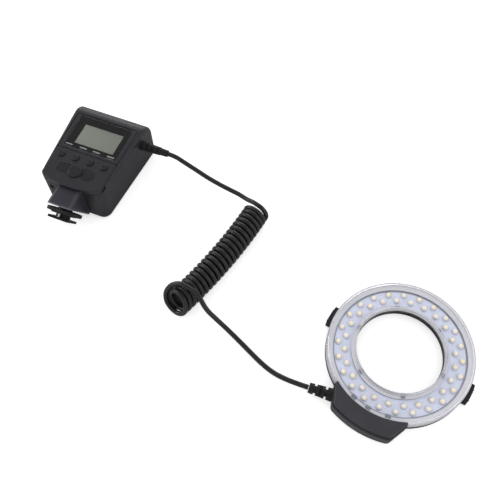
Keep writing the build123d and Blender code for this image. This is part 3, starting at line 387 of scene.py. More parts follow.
# Painted shadow: under the curl and in its last loop the paper is painted dark grey instead of pale.
painted_shadow = add(
    tree,
    "ShaderNodeMix",
    {0: open_floor.outputs[0], MIX_A: linear("#3A3A3C"), MIX_B: mirrored.outputs[MIX_OUT]},
    data_type="RGBA",
)
matt = add(tree, "ShaderNodeBsdfDiffuse", {"Color": painted_shadow.outputs[MIX_OUT], "Roughness": 0.5})
both = add(tree, "ShaderNodeAddShader", {0: matt.outputs[0], 1: glow.outputs[0]})
add(tree, "ShaderNodeOutputMaterial", {"Surface": both.outputs[0]})
floor_mesh.materials.append(paper)
print("floor", 2 * FLOOR_HALF, "m square")

# %% [markdown]
# ## Light
# The photograph looks as if it was taken in a white tent with soft lamps beyond the object's top and
# left: the controller's rounded top edge and the ring's left rim carry their long highlights, while the
# flat panel and the window mirror nothing but the dim roof. Here the world is the tent, bright near the
# table and dimmer overhead so that black plastic stays black. Three soft lamps add direction, each placed
# where no level face can mirror it into the camera. World and lamps together give a level surface a
# little more light than its colour says.

# %% The tent
world = bpy.data.worlds.new("white tent")
bpy.context.scene.world = world
world.use_nodes = True
sky = world.node_tree
sky.nodes.clear()
TENT_LIGHT = 0.85
TENT_NEAR_TABLE = 0.75
TENT_OVERHEAD = 0.34
LOW_SKY = 0.05
HIGH_SKY = 0.75
path = add(sky, "ShaderNodeLightPath")
direction = add(sky, "ShaderNodeSeparateXYZ", {0: add(sky, "ShaderNodeTexCoord").outputs["Generated"]})
gloss_level = add(
    sky,
    "ShaderNodeMapRange",
    {
        "Value": direction.outputs["Z"],
        "From Min": LOW_SKY,
        "From Max": HIGH_SKY,
        "To Min": TENT_NEAR_TABLE,
        "To Max": TENT_OVERHEAD,
    },
)
gloss = add(
    sky,
    "ShaderNodeMath",
    {0: path.outputs["Is Glossy Ray"], 1: gloss_level.outputs[0]},
    operation="MULTIPLY",
)
shown = add(
    sky,
    "ShaderNodeMath",
    {0: path.outputs["Is Camera Ray"], 1: path.outputs["Is Transmission Ray"]},
    operation="MAXIMUM",
)
level = add(sky, "ShaderNodeMath", {0: shown.outputs[0], 1: gloss.outputs[0]}, operation="MAXIMUM")
diffuse = add(
    sky,
    "ShaderNodeMath",
    {0: path.outputs["Is Glossy Ray"], 1: -TENT_LIGHT, 2: TENT_LIGHT},
    operation="MULTIPLY_ADD",
)
level = add(sky, "ShaderNodeMath", {0: level.outputs[0], 1: diffuse.outputs[0]}, operation="MAXIMUM")
tent = add(sky, "ShaderNodeBackground", {"Color": (1.0, 1.0, 1.0, 1.0), "Strength": level.outputs[0]})
add(sky, "ShaderNodeOutputWorld", {"Surface": tent.outputs[0]})

# %% Three soft lamps
GROUP_MIDDLE = np.array([-0.12, 0.06, 0.01])


def soft_lamp(name, place, wide, tall, watts):
    """A lamp wide by tall metres at place, turned to face the middle of the group."""
    light = bpy.data.lights.new(name, "AREA")
    light.shape = "RECTANGLE"
    light.size = wide
    light.size_y = tall
    light.energy = watts
    lamp = bpy.data.objects.new(name, light)
    bpy.context.scene.collection.objects.link(lamp)
    lamp.location = place
    towards = GROUP_MIDDLE - np.array(place)
    pitch = atan2(float(np.hypot(towards[0], towards[1])), float(-towards[2]))
    lamp.rotation_euler = (pitch, 0.0, atan2(-towards[0], towards[1]))
    lamp.visible_camera = False


soft_lamp("key from the left", (-1.35, 0.55, 0.5), 0.7, 0.7, 4.6)
soft_lamp("strip beyond the top", (0.0, 1.5, 0.42), 1.3, 0.35, 4.6)
soft_lamp("fill from the right", (0.9, -0.35, 0.95), 0.9, 0.9, 2.2)
bpy.context.scene.view_settings.view_transform = "Standard"

# %% [markdown]
# ## Moulded plastics and rubber
# The case is ABS, moulded in steel that was spark-eroded, which leaves a fine even grain. The eye sees
# that as a satin sheen with soft highlights on the rounded edges. One function makes every moulded
# finish: two close colours mixed by slow noise, a grain that tips the light, and edges that the mould
# leaves slightly round and that hands then polish. Those edges get a paler colour, which is partly that
# wear and partly a painted highlight. The Bevel node rounds them in the shading alone, so that the CAD
# mesh stays as it is, and also tells where the paler edge colour goes. The grain of the real case is
# about 0.35 mm, too fine to show at this size, so it is drawn at about twice that.

# %% One recipe for moulded surfaces
CLOUD_SIZE = 18
ROUGH_SPREAD = 0.07


def moulded(name, deep, pale, edge_wear_and_highlight, grain, depth, rough, ior, edge):
    """deep and pale are mixed by noise CLOUD_SIZE mm across, and the third colour shows on the edges,
    partly as wear and partly as a painted highlight. grain and depth are the grain's size and height in
    mm, rough is the mean roughness, ior the refractive index, and edge the radius in mm to which edges are
    rounded."""
    made, tree = new_material(name)
    place = add(tree, "ShaderNodeTexCoord").outputs["Object"]
    cloud = add(tree, "ShaderNodeTexNoise", {"Vector": place, "Scale": per_mm(CLOUD_SIZE), "Detail": 4.0})
    speck = add(tree, "ShaderNodeTexNoise", {"Vector": place, "Scale": per_mm(grain), "Detail": 2.0})
    blend = add(
        tree,
        "ShaderNodeMapRange",
        {"Value": cloud.outputs["Fac"], "From Min": 0.35, "From Max": 0.65},
    )
    body = add(
        tree,
        "ShaderNodeMix",
        {0: blend.outputs[0], MIX_A: linear(deep), MIX_B: linear(pale)},
        data_type="RGBA",
    )
    rounded = add(tree, "ShaderNodeBevel", {"Radius": edge * MM}, samples=4)
    flat = add(tree, "ShaderNodeNewGeometry")
    facing = add(
        tree,
        "ShaderNodeVectorMath",
        {0: rounded.outputs[0], 1: flat.outputs["Normal"]},
        operation="DOT_PRODUCT",
    )
    # Paler edges: partly wear from hands, partly a painted highlight on the rounded edges.
    wear_and_highlight_edges = add(
        tree,
        "ShaderNodeMapRange",
        {"Value": facing.outputs["Value"], "From Min": 0.995, "From Max": 0.85, "To Max": 0.6},
    )
    colour = add(
        tree,
        "ShaderNodeMix",
        {0: wear_and_highlight_edges.outputs[0], MIX_A: body.outputs[MIX_OUT], MIX_B: linear(edge_wear_and_highlight)},
        data_type="RGBA",
    )
    dull = add(
        tree,
        "ShaderNodeMapRange",
        {
            "Value": speck.outputs["Fac"],
            "From Min": 0.3,
            "From Max": 0.7,
            "To Min": rough - ROUGH_SPREAD,
            "To Max": rough + ROUGH_SPREAD,
        },
    )
    bump = add(
        tree,
        "ShaderNodeBump",
        {
            "Height": speck.outputs["Fac"],
            "Distance": depth * MM,
            "Strength": 0.6,
            "Normal": rounded.outputs[0],
        },
    )
    shader = add(
        tree,
        "ShaderNodeBsdfPrincipled",
        {
            "Base Color": colour.outputs[MIX_OUT],
            "Roughness": dull.outputs[0],
            "IOR": ior,
            "Normal": bump.outputs[0],
        },
    )
    add(tree, "ShaderNodeOutputMaterial", {"Surface": shader.outputs[0]})
    return made


# Case: warm charcoal with a hint of violet, satin, with a painted highlight in its paler edges.
satin_abs = moulded("satin ABS, spark-eroded", "#1D1B23", "#211F27", "#45434D", 0.8, 0.05, 0.46, 1.54, 0.35)
# Buttons: the same plastic, darker, polished by thumbs and rounder at the rim, where the paler colour is
# partly polish and partly a painted highlight.
thumbed_abs = moulded(
    "satin ABS, thumb-polished", "#121117", "#16151B", "#34323C", 0.8, 0.04, 0.38, 1.54, 0.7
)
# Neck: the same plastic, a little paler, with broad rounded edges painted much paler: mostly a painted
# highlight, and a little wear from hands.
neck_abs = moulded(
    "satin ABS, edges well rounded", "#2A2831", "#302E38", "#AEACBA", 0.8, 0.05, 0.36, 1.54, 2.4
)
# Box on the ring: the same plastic, moulded a little paler.
box_abs = moulded("satin ABS, paler batch", "#323238", "#37373E", "#4C4C55", 0.8, 0.05, 0.46, 1.54, 0.35)
# Housing, tabs and wheel: nylon filled with carbon black, deeper and a little duller.
black_nylon = moulded("black nylon, moulded", "#0F0F11", "#131316", "#202024", 0.6, 0.04, 0.5, 1.53, 0.3)
# Strain reliefs: soft thermoplastic rubber, dull and almost without highlights.
soft_rubber = moulded(
    "thermoplastic rubber, moulded", "#0E0E10", "#131315", "#1C1C1F", 0.7, 0.06, 0.62, 1.5, 0.25
)
# Clips and snap hooks: natural nylon dyed smoke grey, seen through the clear cover.
smoke_nylon = moulded("smoke-grey nylon", "#6E7582", "#7A828E", "#949BA6", 0.6, 0.03, 0.4, 1.53, 0.2)
# Cells' sleeve: shrunk vinyl, glossy and thin.
shrunk_vinyl = moulded(
    "heat-shrunk vinyl sleeve", "#1E3A5C", "#234166", "#2E5078", 1.5, 0.02, 0.25, 1.53, 0.2
)
print("moulded finishes", [m.name for m in bpy.data.materials if m.use_nodes and m != paper])

# %% [markdown]
# ## Cord jacket
# The jacket is extruded polyurethane. Drawing it through a die leaves it smoother than a moulded face,
# with a soft sheen that runs along each turn. Its noise is kept very faint, because the real jacket
# shows only the sheen and a little dust.

# %% Extruded polyurethane
jacket, tree = new_material("extruded polyurethane jacket")
place = add(tree, "ShaderNodeTexCoord").outputs["Object"]
film = add(tree, "ShaderNodeTexNoise", {"Vector": place, "Scale": per_mm(3.5), "Detail": 4.0})
skin = add(tree, "ShaderNodeTexNoise", {"Vector": place, "Scale": per_mm(0.7), "Detail": 2.0})
colour = add(
    tree,
    "ShaderNodeMix",
    {0: film.outputs["Fac"], MIX_A: linear("#151518"), MIX_B: linear("#202023")},
    data_type="RGBA",
)
dull = add(
    tree,
    "ShaderNodeMapRange",
    {"Value": film.outputs["Fac"], "From Min": 0.3, "From Max": 0.7, "To Min": 0.28, "To Max": 0.42},
)
bump = add(tree, "ShaderNodeBump", {"Height": skin.outputs["Fac"], "Distance": 0.02 * MM, "Strength": 0.5})
shader = add(
    tree,
    "ShaderNodeBsdfPrincipled",
    {
        "Base Color": colour.outputs[MIX_OUT],
        "Roughness": dull.outputs[0],
        "IOR": 1.5,
        "Normal": bump.outputs[0],
    },
)
add(tree, "ShaderNodeOutputMaterial", {"Surface": shader.outputs[0]})
line.materials.append(jacket)
print("cord jacket", jacket.name)

# %% [markdown]
# ## Clear plastics
# The ring's cover is clear polycarbonate and the display window is acrylic. Real glass shading bends
# what is behind it, but it also stops lamp light in a path tracer, so what lies under it goes dark.
# Shadow rays and diffuse bounces are therefore let straight through, and the camera still sees the
# bent, shiny version.

# %% One recipe for clear mouldings
WAVE_SIZE = 9
HAZE_SIZE = 25
HAZE_ROUGH = 0.04


def clear(name, tint, rough, ior, flow):
    """A clear moulding with a faint tint. flow is the height in mm of the slow waves that the melt
    left in its surface, WAVE_SIZE mm apart, and rough is its roughness where there is no haze."""
    made, tree = new_material(name)
    place = add(tree, "ShaderNodeTexCoord").outputs["Object"]
    waves = add(tree, "ShaderNodeTexNoise", {"Vector": place, "Scale": per_mm(WAVE_SIZE), "Detail": 1.0})
    haze = add(tree, "ShaderNodeTexNoise", {"Vector": place, "Scale": per_mm(HAZE_SIZE), "Detail": 5.0})
    dull = add(
        tree,
        "ShaderNodeMapRange",
        {
            "Value": haze.outputs["Fac"],
            "From Min": 0.35,
            "From Max": 0.7,
            "To Min": rough,
            "To Max": rough + HAZE_ROUGH,
        },
    )
    bump = add(
        tree,
        "ShaderNodeBump",
        {"Height": waves.outputs["Fac"], "Distance": flow * MM, "Strength": 1.0},
    )
    glass = add(
        tree,
        "ShaderNodeBsdfPrincipled",
        {
            "Base Color": linear(tint),
            "Roughness": dull.outputs[0],
            "IOR": ior,
            "Transmission Weight": 1.0,
            "Normal": bump.outputs[0],
        },
    )
    through = add(tree, "ShaderNodeBsdfTransparent", {"Color": linear(tint)})
    path = add(tree, "ShaderNodeLightPath")
    lamp_or_bounce = add(
        tree,
        "ShaderNodeMath",
        {0: path.outputs["Is Shadow Ray"], 1: path.outputs["Is Diffuse Ray"]},
        operation="MAXIMUM",
    )
    both = add(
        tree,
        "ShaderNodeMixShader",
        {0: lamp_or_bounce.outputs[0], 1: glass.outputs[0], 2: through.outputs[0]},
    )
    add(tree, "ShaderNodeOutputMaterial", {"Surface": both.outputs[0]})
    return made


polycarbonate = clear("clear polycarbonate, moulded", "#FDFDFE", 0.02, 1.585, 0.03)
acrylic = clear("acrylic window, polished", "#FBFCFB", 0.0, 1.49, 0.005)
print("clear finishes", polycarbonate.name, "and", acrylic.name)

# %% [markdown]
# ## Boards
# The lamp board is glass-fibre laminate under a white solder mask that leans to blue. The copper
# tracks under the mask stand a little proud and show as faint rings. Distance from the lens axis is
# all that pattern needs, so it is worked out from the Object coordinates instead of being drawn. The
# mask stops short of the rim, where the cover's clear shelf holds the board down, and its edge shows as
# a darker line.

# %% White solder mask with faint tracks
TRACK_PITCH = 2.6
TRACK_SHOWS = 0.25
MASK_EDGE_R = 51.3
SHELF_R = 52.2
EDGE_BLUR = 0.5
mask_white, tree = new_material("white solder mask on laminate")
place = add(tree, "ShaderNodeTexCoord").outputs["Object"]
level_place = add(tree, "ShaderNodeVectorMath", {0: place, 1: (1.0, 1.0, 0.0)}, operation="MULTIPLY")
away = add(tree, "ShaderNodeVectorMath", {0: level_place.outputs[0]}, operation="LENGTH")
weave = add(tree, "ShaderNodeTexNoise", {"Vector": place, "Scale": per_mm(8), "Detail": 3.0})
patchy = add(tree, "ShaderNodeMapRange", {"Value": weave.outputs["Fac"], "From Min": 0.28, "From Max": 0.72})
base = add(
    tree,
    "ShaderNodeMix",
    {0: patchy.outputs[0], MIX_A: linear("#DCE9FB"), MIX_B: linear("#E6E4F9")},
    data_type="RGBA",
)
phase = add(
    tree,
    "ShaderNodeMath",
    {0: away.outputs["Value"], 1: 2 * pi / (TRACK_PITCH * MM)},
    operation="MULTIPLY",
)
ripple = add(tree, "ShaderNodeMath", {0: phase.outputs[0]}, operation="SINE")
track = add(tree, "ShaderNodeMapRange", {"Value": ripple.outputs[0], "From Min": 0.72, "From Max": 0.9})
tracked = add(tree, "ShaderNodeMath", {0: track.outputs[0], 1: TRACK_SHOWS}, operation="MULTIPLY")
lined = add(
    tree,
    "ShaderNodeMix",
    {0: tracked.outputs[0], MIX_A: base.outputs[MIX_OUT], MIX_B: linear("#C3CEE6")},
    data_type="RGBA",
)
edge_line = add(
    tree,
    "ShaderNodeMapRange",
    {
        "Value": away.outputs["Value"],
        "From Min": MASK_EDGE_R * MM,
        "From Max": (MASK_EDGE_R + EDGE_BLUR) * MM,
    },
)
lined = add(
    tree,
    "ShaderNodeMix",
    {0: edge_line.outputs[0], MIX_A: lined.outputs[MIX_OUT], MIX_B: linear("#8A90A6")},
    data_type="RGBA",
)
rim = add(
    tree,
    "ShaderNodeMapRange",
    {"Value": away.outputs["Value"], "From Min": SHELF_R * MM, "From Max": (SHELF_R + EDGE_BLUR) * MM},
)
colour = add(
    tree,
    "ShaderNodeMix",
    {0: rim.outputs[0], MIX_A: lined.outputs[MIX_OUT], MIX_B: linear("#D6D5DA")},
    data_type="RGBA",
)
bump = add(tree, "ShaderNodeBump", {"Height": track.outputs[0], "Distance": 0.03 * MM, "Strength": 0.5})
shader = add(
    tree,
    "ShaderNodeBsdfPrincipled",
    {"Base Color": colour.outputs[MIX_OUT], "Roughness": 0.38, "IOR": 1.52, "Normal": bump.outputs[0]},
)
add(tree, "ShaderNodeOutputMaterial", {"Surface": shader.outputs[0]})

# %% Green solder mask for the boards inside
mask_green, tree = new_material("green solder mask on laminate")
place = add(tree, "ShaderNodeTexCoord").outputs["Object"]
tracks = add(
    tree,
    "ShaderNodeTexBrick",
    {
        "Vector": place,
        "Scale": per_mm(10),
        "Mortar Size": 0.03,
        "Color1": linear("#14502F"),
        "Color2": linear("#175836"),
        "Mortar": linear("#2F7A4C"),
    },
)
bump = add(tree, "ShaderNodeBump", {"Height": tracks.outputs["Fac"], "Distance": 0.03 * MM, "Strength": 0.5})
shader = add(
    tree,
    "ShaderNodeBsdfPrincipled",
    {"Base Color": tracks.outputs["Color"], "Roughness": 0.3, "IOR": 1.52, "Normal": bump.outputs[0]},
)
add(tree, "ShaderNodeOutputMaterial", {"Surface": shader.outputs[0]})
print("boards", mask_white.name, "and", mask_green.name)

# %% [markdown]
# ## Metals
# Screws and plates are steel: cut, turned or stamped, then plated. Their brightness is all reflection,
# so the roughness does the talking: fine scratches widen the highlight one way. The foot and its clamp
# plate are steel too, but blackened, which leaves a thin dark oxide over the same scratches.

# %% One recipe for metals
METAL_SPREAD = 0.06


def metal(name, deep, pale, rough, scratch, metallic=1.0):
    """deep and pale are mixed by noise scratch millimetres wide and drawn out along the y axis. rough
    is the mean roughness."""
    made, tree = new_material(name)
    place = add(tree, "ShaderNodeTexCoord").outputs["Object"]
    drawn = add(tree, "ShaderNodeMapping", {"Vector": place, "Scale": (1.0, 0.15, 1.0)})
    lines = add(
        tree,
        "ShaderNodeTexNoise",
        {"Vector": drawn.outputs[0], "Scale": per_mm(scratch), "Detail": 3.0},
    )
    colour = add(
        tree,
        "ShaderNodeMix",
        {0: lines.outputs["Fac"], MIX_A: linear(deep), MIX_B: linear(pale)},
        data_type="RGBA",
    )
    dull = add(
        tree,
        "ShaderNodeMapRange",
        {
            "Value": lines.outputs["Fac"],
            "From Min": 0.3,
            "From Max": 0.7,
            "To Min": rough - METAL_SPREAD,
            "To Max": rough + METAL_SPREAD,
        },
    )
    bump = add(
        tree,
        "ShaderNodeBump",
        {"Height": lines.outputs["Fac"], "Distance": 0.01 * MM, "Strength": 0.5},
    )
    shader = add(
        tree,
        "ShaderNodeBsdfPrincipled",
        {
            "Base Color": colour.outputs[MIX_OUT],
            "Metallic": metallic,
            "Roughness": dull.outputs[0],
            "Normal": bump.outputs[0],
        },
    )
    add(tree, "ShaderNodeOutputMaterial", {"Surface": shader.outputs[0]})
    return made


zinc_steel = metal("zinc-plated steel", "#A3A5A8", "#B7B9BC", 0.32, 0.5)
bright_steel = metal("ground bright steel", "#D2D3D5", "#E2E3E4", 0.14, 0.4)
black_steel = metal("black-oxide steel", "#1A1A1C", "#262628", 0.36, 0.5, 0.6)
gilt_brass = metal("gold-flashed brass", "#C9A353", "#D9B768", 0.22, 0.4)
print("metals", zinc_steel.name, bright_steel.name, black_steel.name, gilt_brass.name)

# %% [markdown]
# ## Display
# The display is a reflective liquid crystal, switched off: a flat grey-green with the ghosts of its
# segments barely darker, and painted shading that runs from a lighter left side to a darker right side.
# A polarising film lies on it, which makes it satin. The ghosts are a row of plain cells from a Brick
# pattern, turned to the panel's own direction by a Mapping node.

# %% Unlit liquid crystal
# The middle and half size of the screen's opening on the panel. Its colour is painted lighter at the
# left and darker at the right, a painted shading that changes slowly over FIELD_HALF mm either way.
SCREEN_X = 1.3
SCREEN_Y = 47.4
SCREEN_HALF_W = 18.7
SCREEN_HALF_H = 10.7
FIELD_HALF = 19.0
CELLS_SHOW = 0.1
lcd_film, tree = new_material("unlit liquid crystal under film")
place = add(tree, "ShaderNodeTexCoord").outputs["Object"]
centred = add(
    tree,
    "ShaderNodeVectorMath",
    {0: place, 1: ((PANEL_PLACE + panel_x * SCREEN_X + panel_y * SCREEN_Y) * MM).tolist()},
    operation="SUBTRACT",
)
turned = add(tree, "ShaderNodeMapping", {"Vector": centred.outputs[0], "Rotation": (0.0, 0.0, -PANEL_TURN)})
split = add(tree, "ShaderNodeSeparateXYZ", {0: turned.outputs[0]})
# Painted shading: lighter at the screen's left side, darker at its right.
shade = add(
    tree,
    "ShaderNodeMapRange",
    {"Value": split.outputs["X"], "From Min": -FIELD_HALF * MM, "From Max": FIELD_HALF * MM},
)
field = add(
    tree,
    "ShaderNodeMix",
    {0: shade.outputs[0], MIX_A: linear("#6F7267"), MIX_B: linear("#64685E")},
    data_type="RGBA",
)
cells = add(
    tree,
    "ShaderNodeTexBrick",
    {
        "Vector": turned.outputs[0],
        "Scale": per_mm(5),
        "Mortar Size": 0.06,
        "Mortar Smooth": 0.3,
        "Brick Width": 1.0,
        "Row Height": 1.4,
        "Color1": (0.0, 0.0, 0.0, 1.0),
        "Color2": (0.0, 0.0, 0.0, 1.0),
        "Mortar": (1.0, 1.0, 1.0, 1.0),
    },
    offset=0.0,
)
faint = add(tree, "ShaderNodeMath", {0: cells.outputs["Fac"], 1: CELLS_SHOW}, operation="MULTIPLY")
colour = add(
    tree,
    "ShaderNodeMix",
    {0: faint.outputs[0], MIX_A: field.outputs[MIX_OUT], MIX_B: linear("#50534A")},
    data_type="RGBA",
)
film = add(tree, "ShaderNodeTexNoise", {"Vector": place, "Scale": per_mm(0.6), "Detail": 1.0})
bump = add(tree, "ShaderNodeBump", {"Height": film.outputs["Fac"], "Distance": 0.01 * MM, "Strength": 0.4})
shader = add(
    tree,
    "ShaderNodeBsdfPrincipled",
    {"Base Color": colour.outputs[MIX_OUT], "Roughness": 0.35, "IOR": 1.5, "Normal": bump.outputs[0]},
)
add(tree, "ShaderNodeOutputMaterial", {"Surface": shader.outputs[0]})

# Printed border behind the window: dense dark ink. It wets the acrylic, so no air lies between and it has
# next to no shine of its own.
border_ink = moulded("screen-printed ink, dark", "#141415", "#171718", "#1A1A1B", 1.2, 0.01, 0.6, 1.1, 0.02)
# Plain bars over the four small buttons: pale ink on the same print.
pale_ink = moulded("screen-printed ink, pale", "#96979A", "#A2A3A6", "#ACADAF", 0.8, 0.01, 0.45, 1.5, 0.02)
print("display", lcd_film.name)

# %% [markdown]
# ## A finish for every CAD node
# Most of the object is exactly as the CAD model has it, and only wants its real finish. A table from
# node to material keeps that choice in one place.

# %% Finishes for the CAD nodes
finishes = {
    satin_abs: ["main_shell", "front_cover", "battery_door"],
    thumbed_abs: [
        "small_button_1",
        "small_button_2",
        "small_button_3",
        "small_button_4",
        "round_button",
        "left_button",
        "right_button",
    ],
    neck_abs: ["shoe_neck"],
    box_abs: ["box_shell", "box_plate"],
    black_nylon: [
        "ring_housing",
        "release_yoke_left",
        "release_yoke_right",
        "release_tab_left",
        "release_tab_right",
        "tact_switches",
        "battery_tray",
        "jack_socket",
        "lock_wheel",
    ],
    soft_rubber: ["ring_relief", "controller_relief"],
    smoke_nylon: ["cover_clips"],
    shrunk_vinyl: ["battery_cells"],
    polycarbonate: ["ring_cover"],
    acrylic: ["display_window"],
    mask_white: ["led_board"],
    mask_green: ["terminal_board", "main_board"],
    lcd_film: ["lcd_glass"],
    zinc_steel: [
        "ring_screws",
        "box_screws",
        "lcd_frame",
        "shell_screws",
        "battery_contacts",
        "door_hinge_pin",
        "shoe_screws",
    ],
    bright_steel: ["lock_pin"],
    black_steel: ["shoe_foot", "clamp_plate"],
    gilt_brass: ["shoe_contacts"],
}
for material, names in finishes.items():
    for name in names:
        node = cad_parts[name]
        if not node.material_slots:
            node.data.materials.append(material)
        for holder in node.material_slots:
            holder.material = material
dressed = {name for names in finishes.values() for name in names}
print("finished", len(dressed), "nodes; left for new pieces:", sorted(set(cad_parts) - dressed))

# %% [markdown]
# ## Lamps
# Each lamp is a moulded epoxy lens on a round flange, with a dab of yellow phosphor showing cream
# through it. A lens could be a sphere cut in half, but its flange, barrel and dome are one turned
# profile, so a profile carried round an axis makes it. All 48 are copies of that one array. How far a
# vertex lies from its own lamp's axis is kept as an attribute, and the colour follows it: cream in the
# core, and greyer towards the rim, where painted shade rings the lens.

# %% A profile turned about an axis
def turned_solid(profile, around):
    """Vertices and faces of a closed turned solid: each profile point (r, z) becomes (r cos a, r sin a,
    z) for every angle a; a point with r = 0 is a single pole."""
    profile = np.asarray(profile, float)
    angles = np.arange(around) * 2 * pi / around
    ring = np.stack([np.cos(angles), np.sin(angles)], axis=-1)
    pole = profile[:, 0] == 0
    sizes = np.where(pole, 1, around)
    starts = np.concatenate([[0], np.cumsum(sizes)[:-1]])
    index = starts[:, None] + np.where(pole[:, None], 0, np.arange(around)[None, :])
    grid = np.concatenate(
        [profile[:, None, :1] * ring[None], np.repeat(profile[:, None, 1:], around, axis=1)], axis=-1
    )
    vertices = np.concatenate([grid[k, : sizes[k]] for k in range(len(profile))])
    right = np.roll(index, -1, axis=1)
    quads = np.stack([index[:-1], right[:-1], right[1:], index[1:]], axis=-1)
    solid_rows = ~pole[:-1] & ~pole[1:]
    faces = quads[solid_rows].reshape(-1, 4).tolist()
    faces += quads[:1][:, :, [0, 2, 3]].reshape(-1, 3).tolist() if pole[0] else []
    faces += quads[-1:][:, :, [0, 1, 2]].reshape(-1, 3).tolist() if pole[-1] else []
    return vertices, faces


def piece(name, vertices, faces, material, body="body"):
    """A new mesh object at the origin that rides on a body and carries its finish."""
    mesh = bpy.data.meshes.new(name)
    mesh.from_pydata((np.asarray(vertices) * MM).tolist(), [], faces)
    mesh.validate()
    mesh.materials.append(material)
    made = bpy.data.objects.new(name, mesh)
    bpy.context.scene.collection.objects.link(made)
    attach(made, body)
    return made


# %% 48 lamps in two rows
BOARD_TOP = 8.0
LAMP_R = 2.4
LAMP_H = 3.4
LAMPS_PER_ROW = 24
LAMP_SIDES = 24
BATCH_SEED = 7
# Radius in mm of each row, and the angle in degrees of its first lamp
LAMP_ROWS = ((48.6, 4.9), (43.4, 12.3))
dome = np.linspace(0.0, pi / 2, 9)
profile = [(0.0, 0.0), (2.45, 0.0), (2.6, 0.12), (2.6, 0.62), (2.5, 0.75), (LAMP_R + 0.05, 0.8)]
profile += [(LAMP_R * cos(a), LAMP_H - LAMP_R + LAMP_R * sin(a)) for a in dome[:-1]]
profile += [(0.0, LAMP_H)]
one_lamp, lamp_faces = turned_solid(profile, LAMP_SIDES)
spots = []
for row_radius, first_angle in LAMP_ROWS:
    angle = np.radians(first_angle + 360 / LAMPS_PER_ROW * np.arange(LAMPS_PER_ROW))
    x = row_radius * np.cos(angle)
    y = row_radius * np.sin(angle)
    spots += [np.stack([x, y, np.full(LAMPS_PER_ROW, BOARD_TOP)], axis=-1)]
spots = np.concatenate(spots)
lamp_vertices = (spots[:, None, :] + one_lamp[None]).reshape(-1, 3)
all_faces = [[k * len(one_lamp) + v for v in face] for k in range(len(spots)) for face in lamp_faces]

# %% Epoxy lens with a phosphor core
epoxy, tree = new_material("cast epoxy over phosphor")
rim = add(tree, "ShaderNodeAttribute", attribute_name="rim")
hue = add(tree, "ShaderNodeAttribute", attribute_name="batch")
core = add(
    tree,
    "ShaderNodeMix",
    {0: hue.outputs["Fac"], MIX_A: linear("#FFF0C4"), MIX_B: linear("#FFF4E0")},
    data_type="RGBA",
)
# Painted shade: towards its rim each lens is painted grey-blue.
rim_painted_shade = add(tree, "ShaderNodeMapRange", {"Value": rim.outputs["Fac"], "From Min": 0.5, "From Max": 1.05})
colour = add(
    tree,
    "ShaderNodeMix",
    {0: rim_painted_shade.outputs[0], MIX_A: core.outputs[MIX_OUT], MIX_B: linear("#C6C8D2")},
    data_type="RGBA",
)
place = add(tree, "ShaderNodeTexCoord").outputs["Object"]
grit = add(tree, "ShaderNodeTexNoise", {"Vector": place, "Scale": per_mm(0.5), "Detail": 2.0})
mottled = add(
    tree,
    "ShaderNodeMapRange",
    {"Value": grit.outputs["Fac"], "From Min": 0.3, "From Max": 0.7, "To Min": 0.12, "To Max": 0.2},
)
shader = add(
    tree,
    "ShaderNodeBsdfPrincipled",
    {
        "Base Color": colour.outputs[MIX_OUT],
        "Roughness": mottled.outputs[0],
        "IOR": 1.54,
        "Coat Weight": 0.6,
        "Coat Roughness": 0.05,
    },
)
add(tree, "ShaderNodeOutputMaterial", {"Surface": shader.outputs[0]})
lamps = piece("lamp_lenses", lamp_vertices, all_faces, epoxy)
lamps.data.polygons.foreach_set("use_smooth", np.ones(len(lamps.data.polygons), bool))
rim_values = np.tile(np.hypot(one_lamp[:, 0], one_lamp[:, 1]) / LAMP_R, len(spots))
lamps.data.attributes.new("rim", "FLOAT", "POINT").data.foreach_set("value", rim_values.astype(np.float32))
batch = np.repeat(np.random.default_rng(BATCH_SEED).random(len(spots)), len(one_lamp))
lamps.data.attributes.new("batch", "FLOAT", "POINT").data.foreach_set("value", batch.astype(np.float32))
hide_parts("leds")
print("lamps", len(spots), "faces", len(all_faces))

# %% [markdown]
# ## Small things under the clear cover
# The cover's walls and both of its flanges are frosted on the inside, which hides the housing below, and
# the lens hole is sprayed black low down, so that stray light stays off the lens. Three lugs of smoke grey
# nylon hold the cover beside the box. All are bars bent round the lens axis: a full turn of such a bar
# makes a lining, which lies a few hundredths of a millimetre inside the clear wall.

# %% Bars bent round the lens axis
def curved_bar(inner, outer, low, high, start, end, steps):
    """A bar between two radii and two heights from angle start to end in degrees: each of the four
    corners (r, z) of its section becomes (r cos a, r sin a, z) at steps + 1 angles a."""
    section = np.array([[inner, low], [outer, low], [outer, high], [inner, high]])
    angles = np.radians(np.linspace(start, end, steps + 1))
    across = np.stack([np.cos(angles), np.sin(angles)], axis=-1)
    level = section[None, :, :1] * across[:, None, :]
    height = np.broadcast_to(section[None, :, 1:], (steps + 1, 4, 1))
    points = np.concatenate([level, height], axis=-1).reshape(-1, 3)
    faces = [[0, 1, 2, 3], [4 * steps + k for k in (3, 2, 1, 0)]]
    for step in range(steps):
        for k in range(4):
            after = (k + 1) % 4
            here = 4 * step
            faces += [[here + k, here + 4 + k, here + 4 + after, here + after]]
    return points, faces


def joined(parts):
    """The points and faces of several parts as one."""
    points = []
    faces = []
    for own_points, own_faces in parts:
        faces += [[v + len(points) for v in face] for face in own_faces]
        points += list(own_points)
    return points, faces


# Each bar's section is an inner and an outer radius, a low and a high edge. The linings lie on the wall
# of the hole, the inner flange, the outer flange and the outer wall.
LININGS = (
    (34.86, 34.92, 9.7, 14.9),
    (34.98, 38.3, 9.34, 9.42),
    (53.0, 57.7, 9.34, 9.42),
    (57.84, 57.9, 5.0, 12.4),
)
BAND = (34.86, 34.92, 6.9, 9.6)
LUG = (51.6, 54.4, 9.35, 9.9)
LUG_ANGLES = (223.0, 237.0, 254.0)
LUG_HALF_ANGLE = 2.3
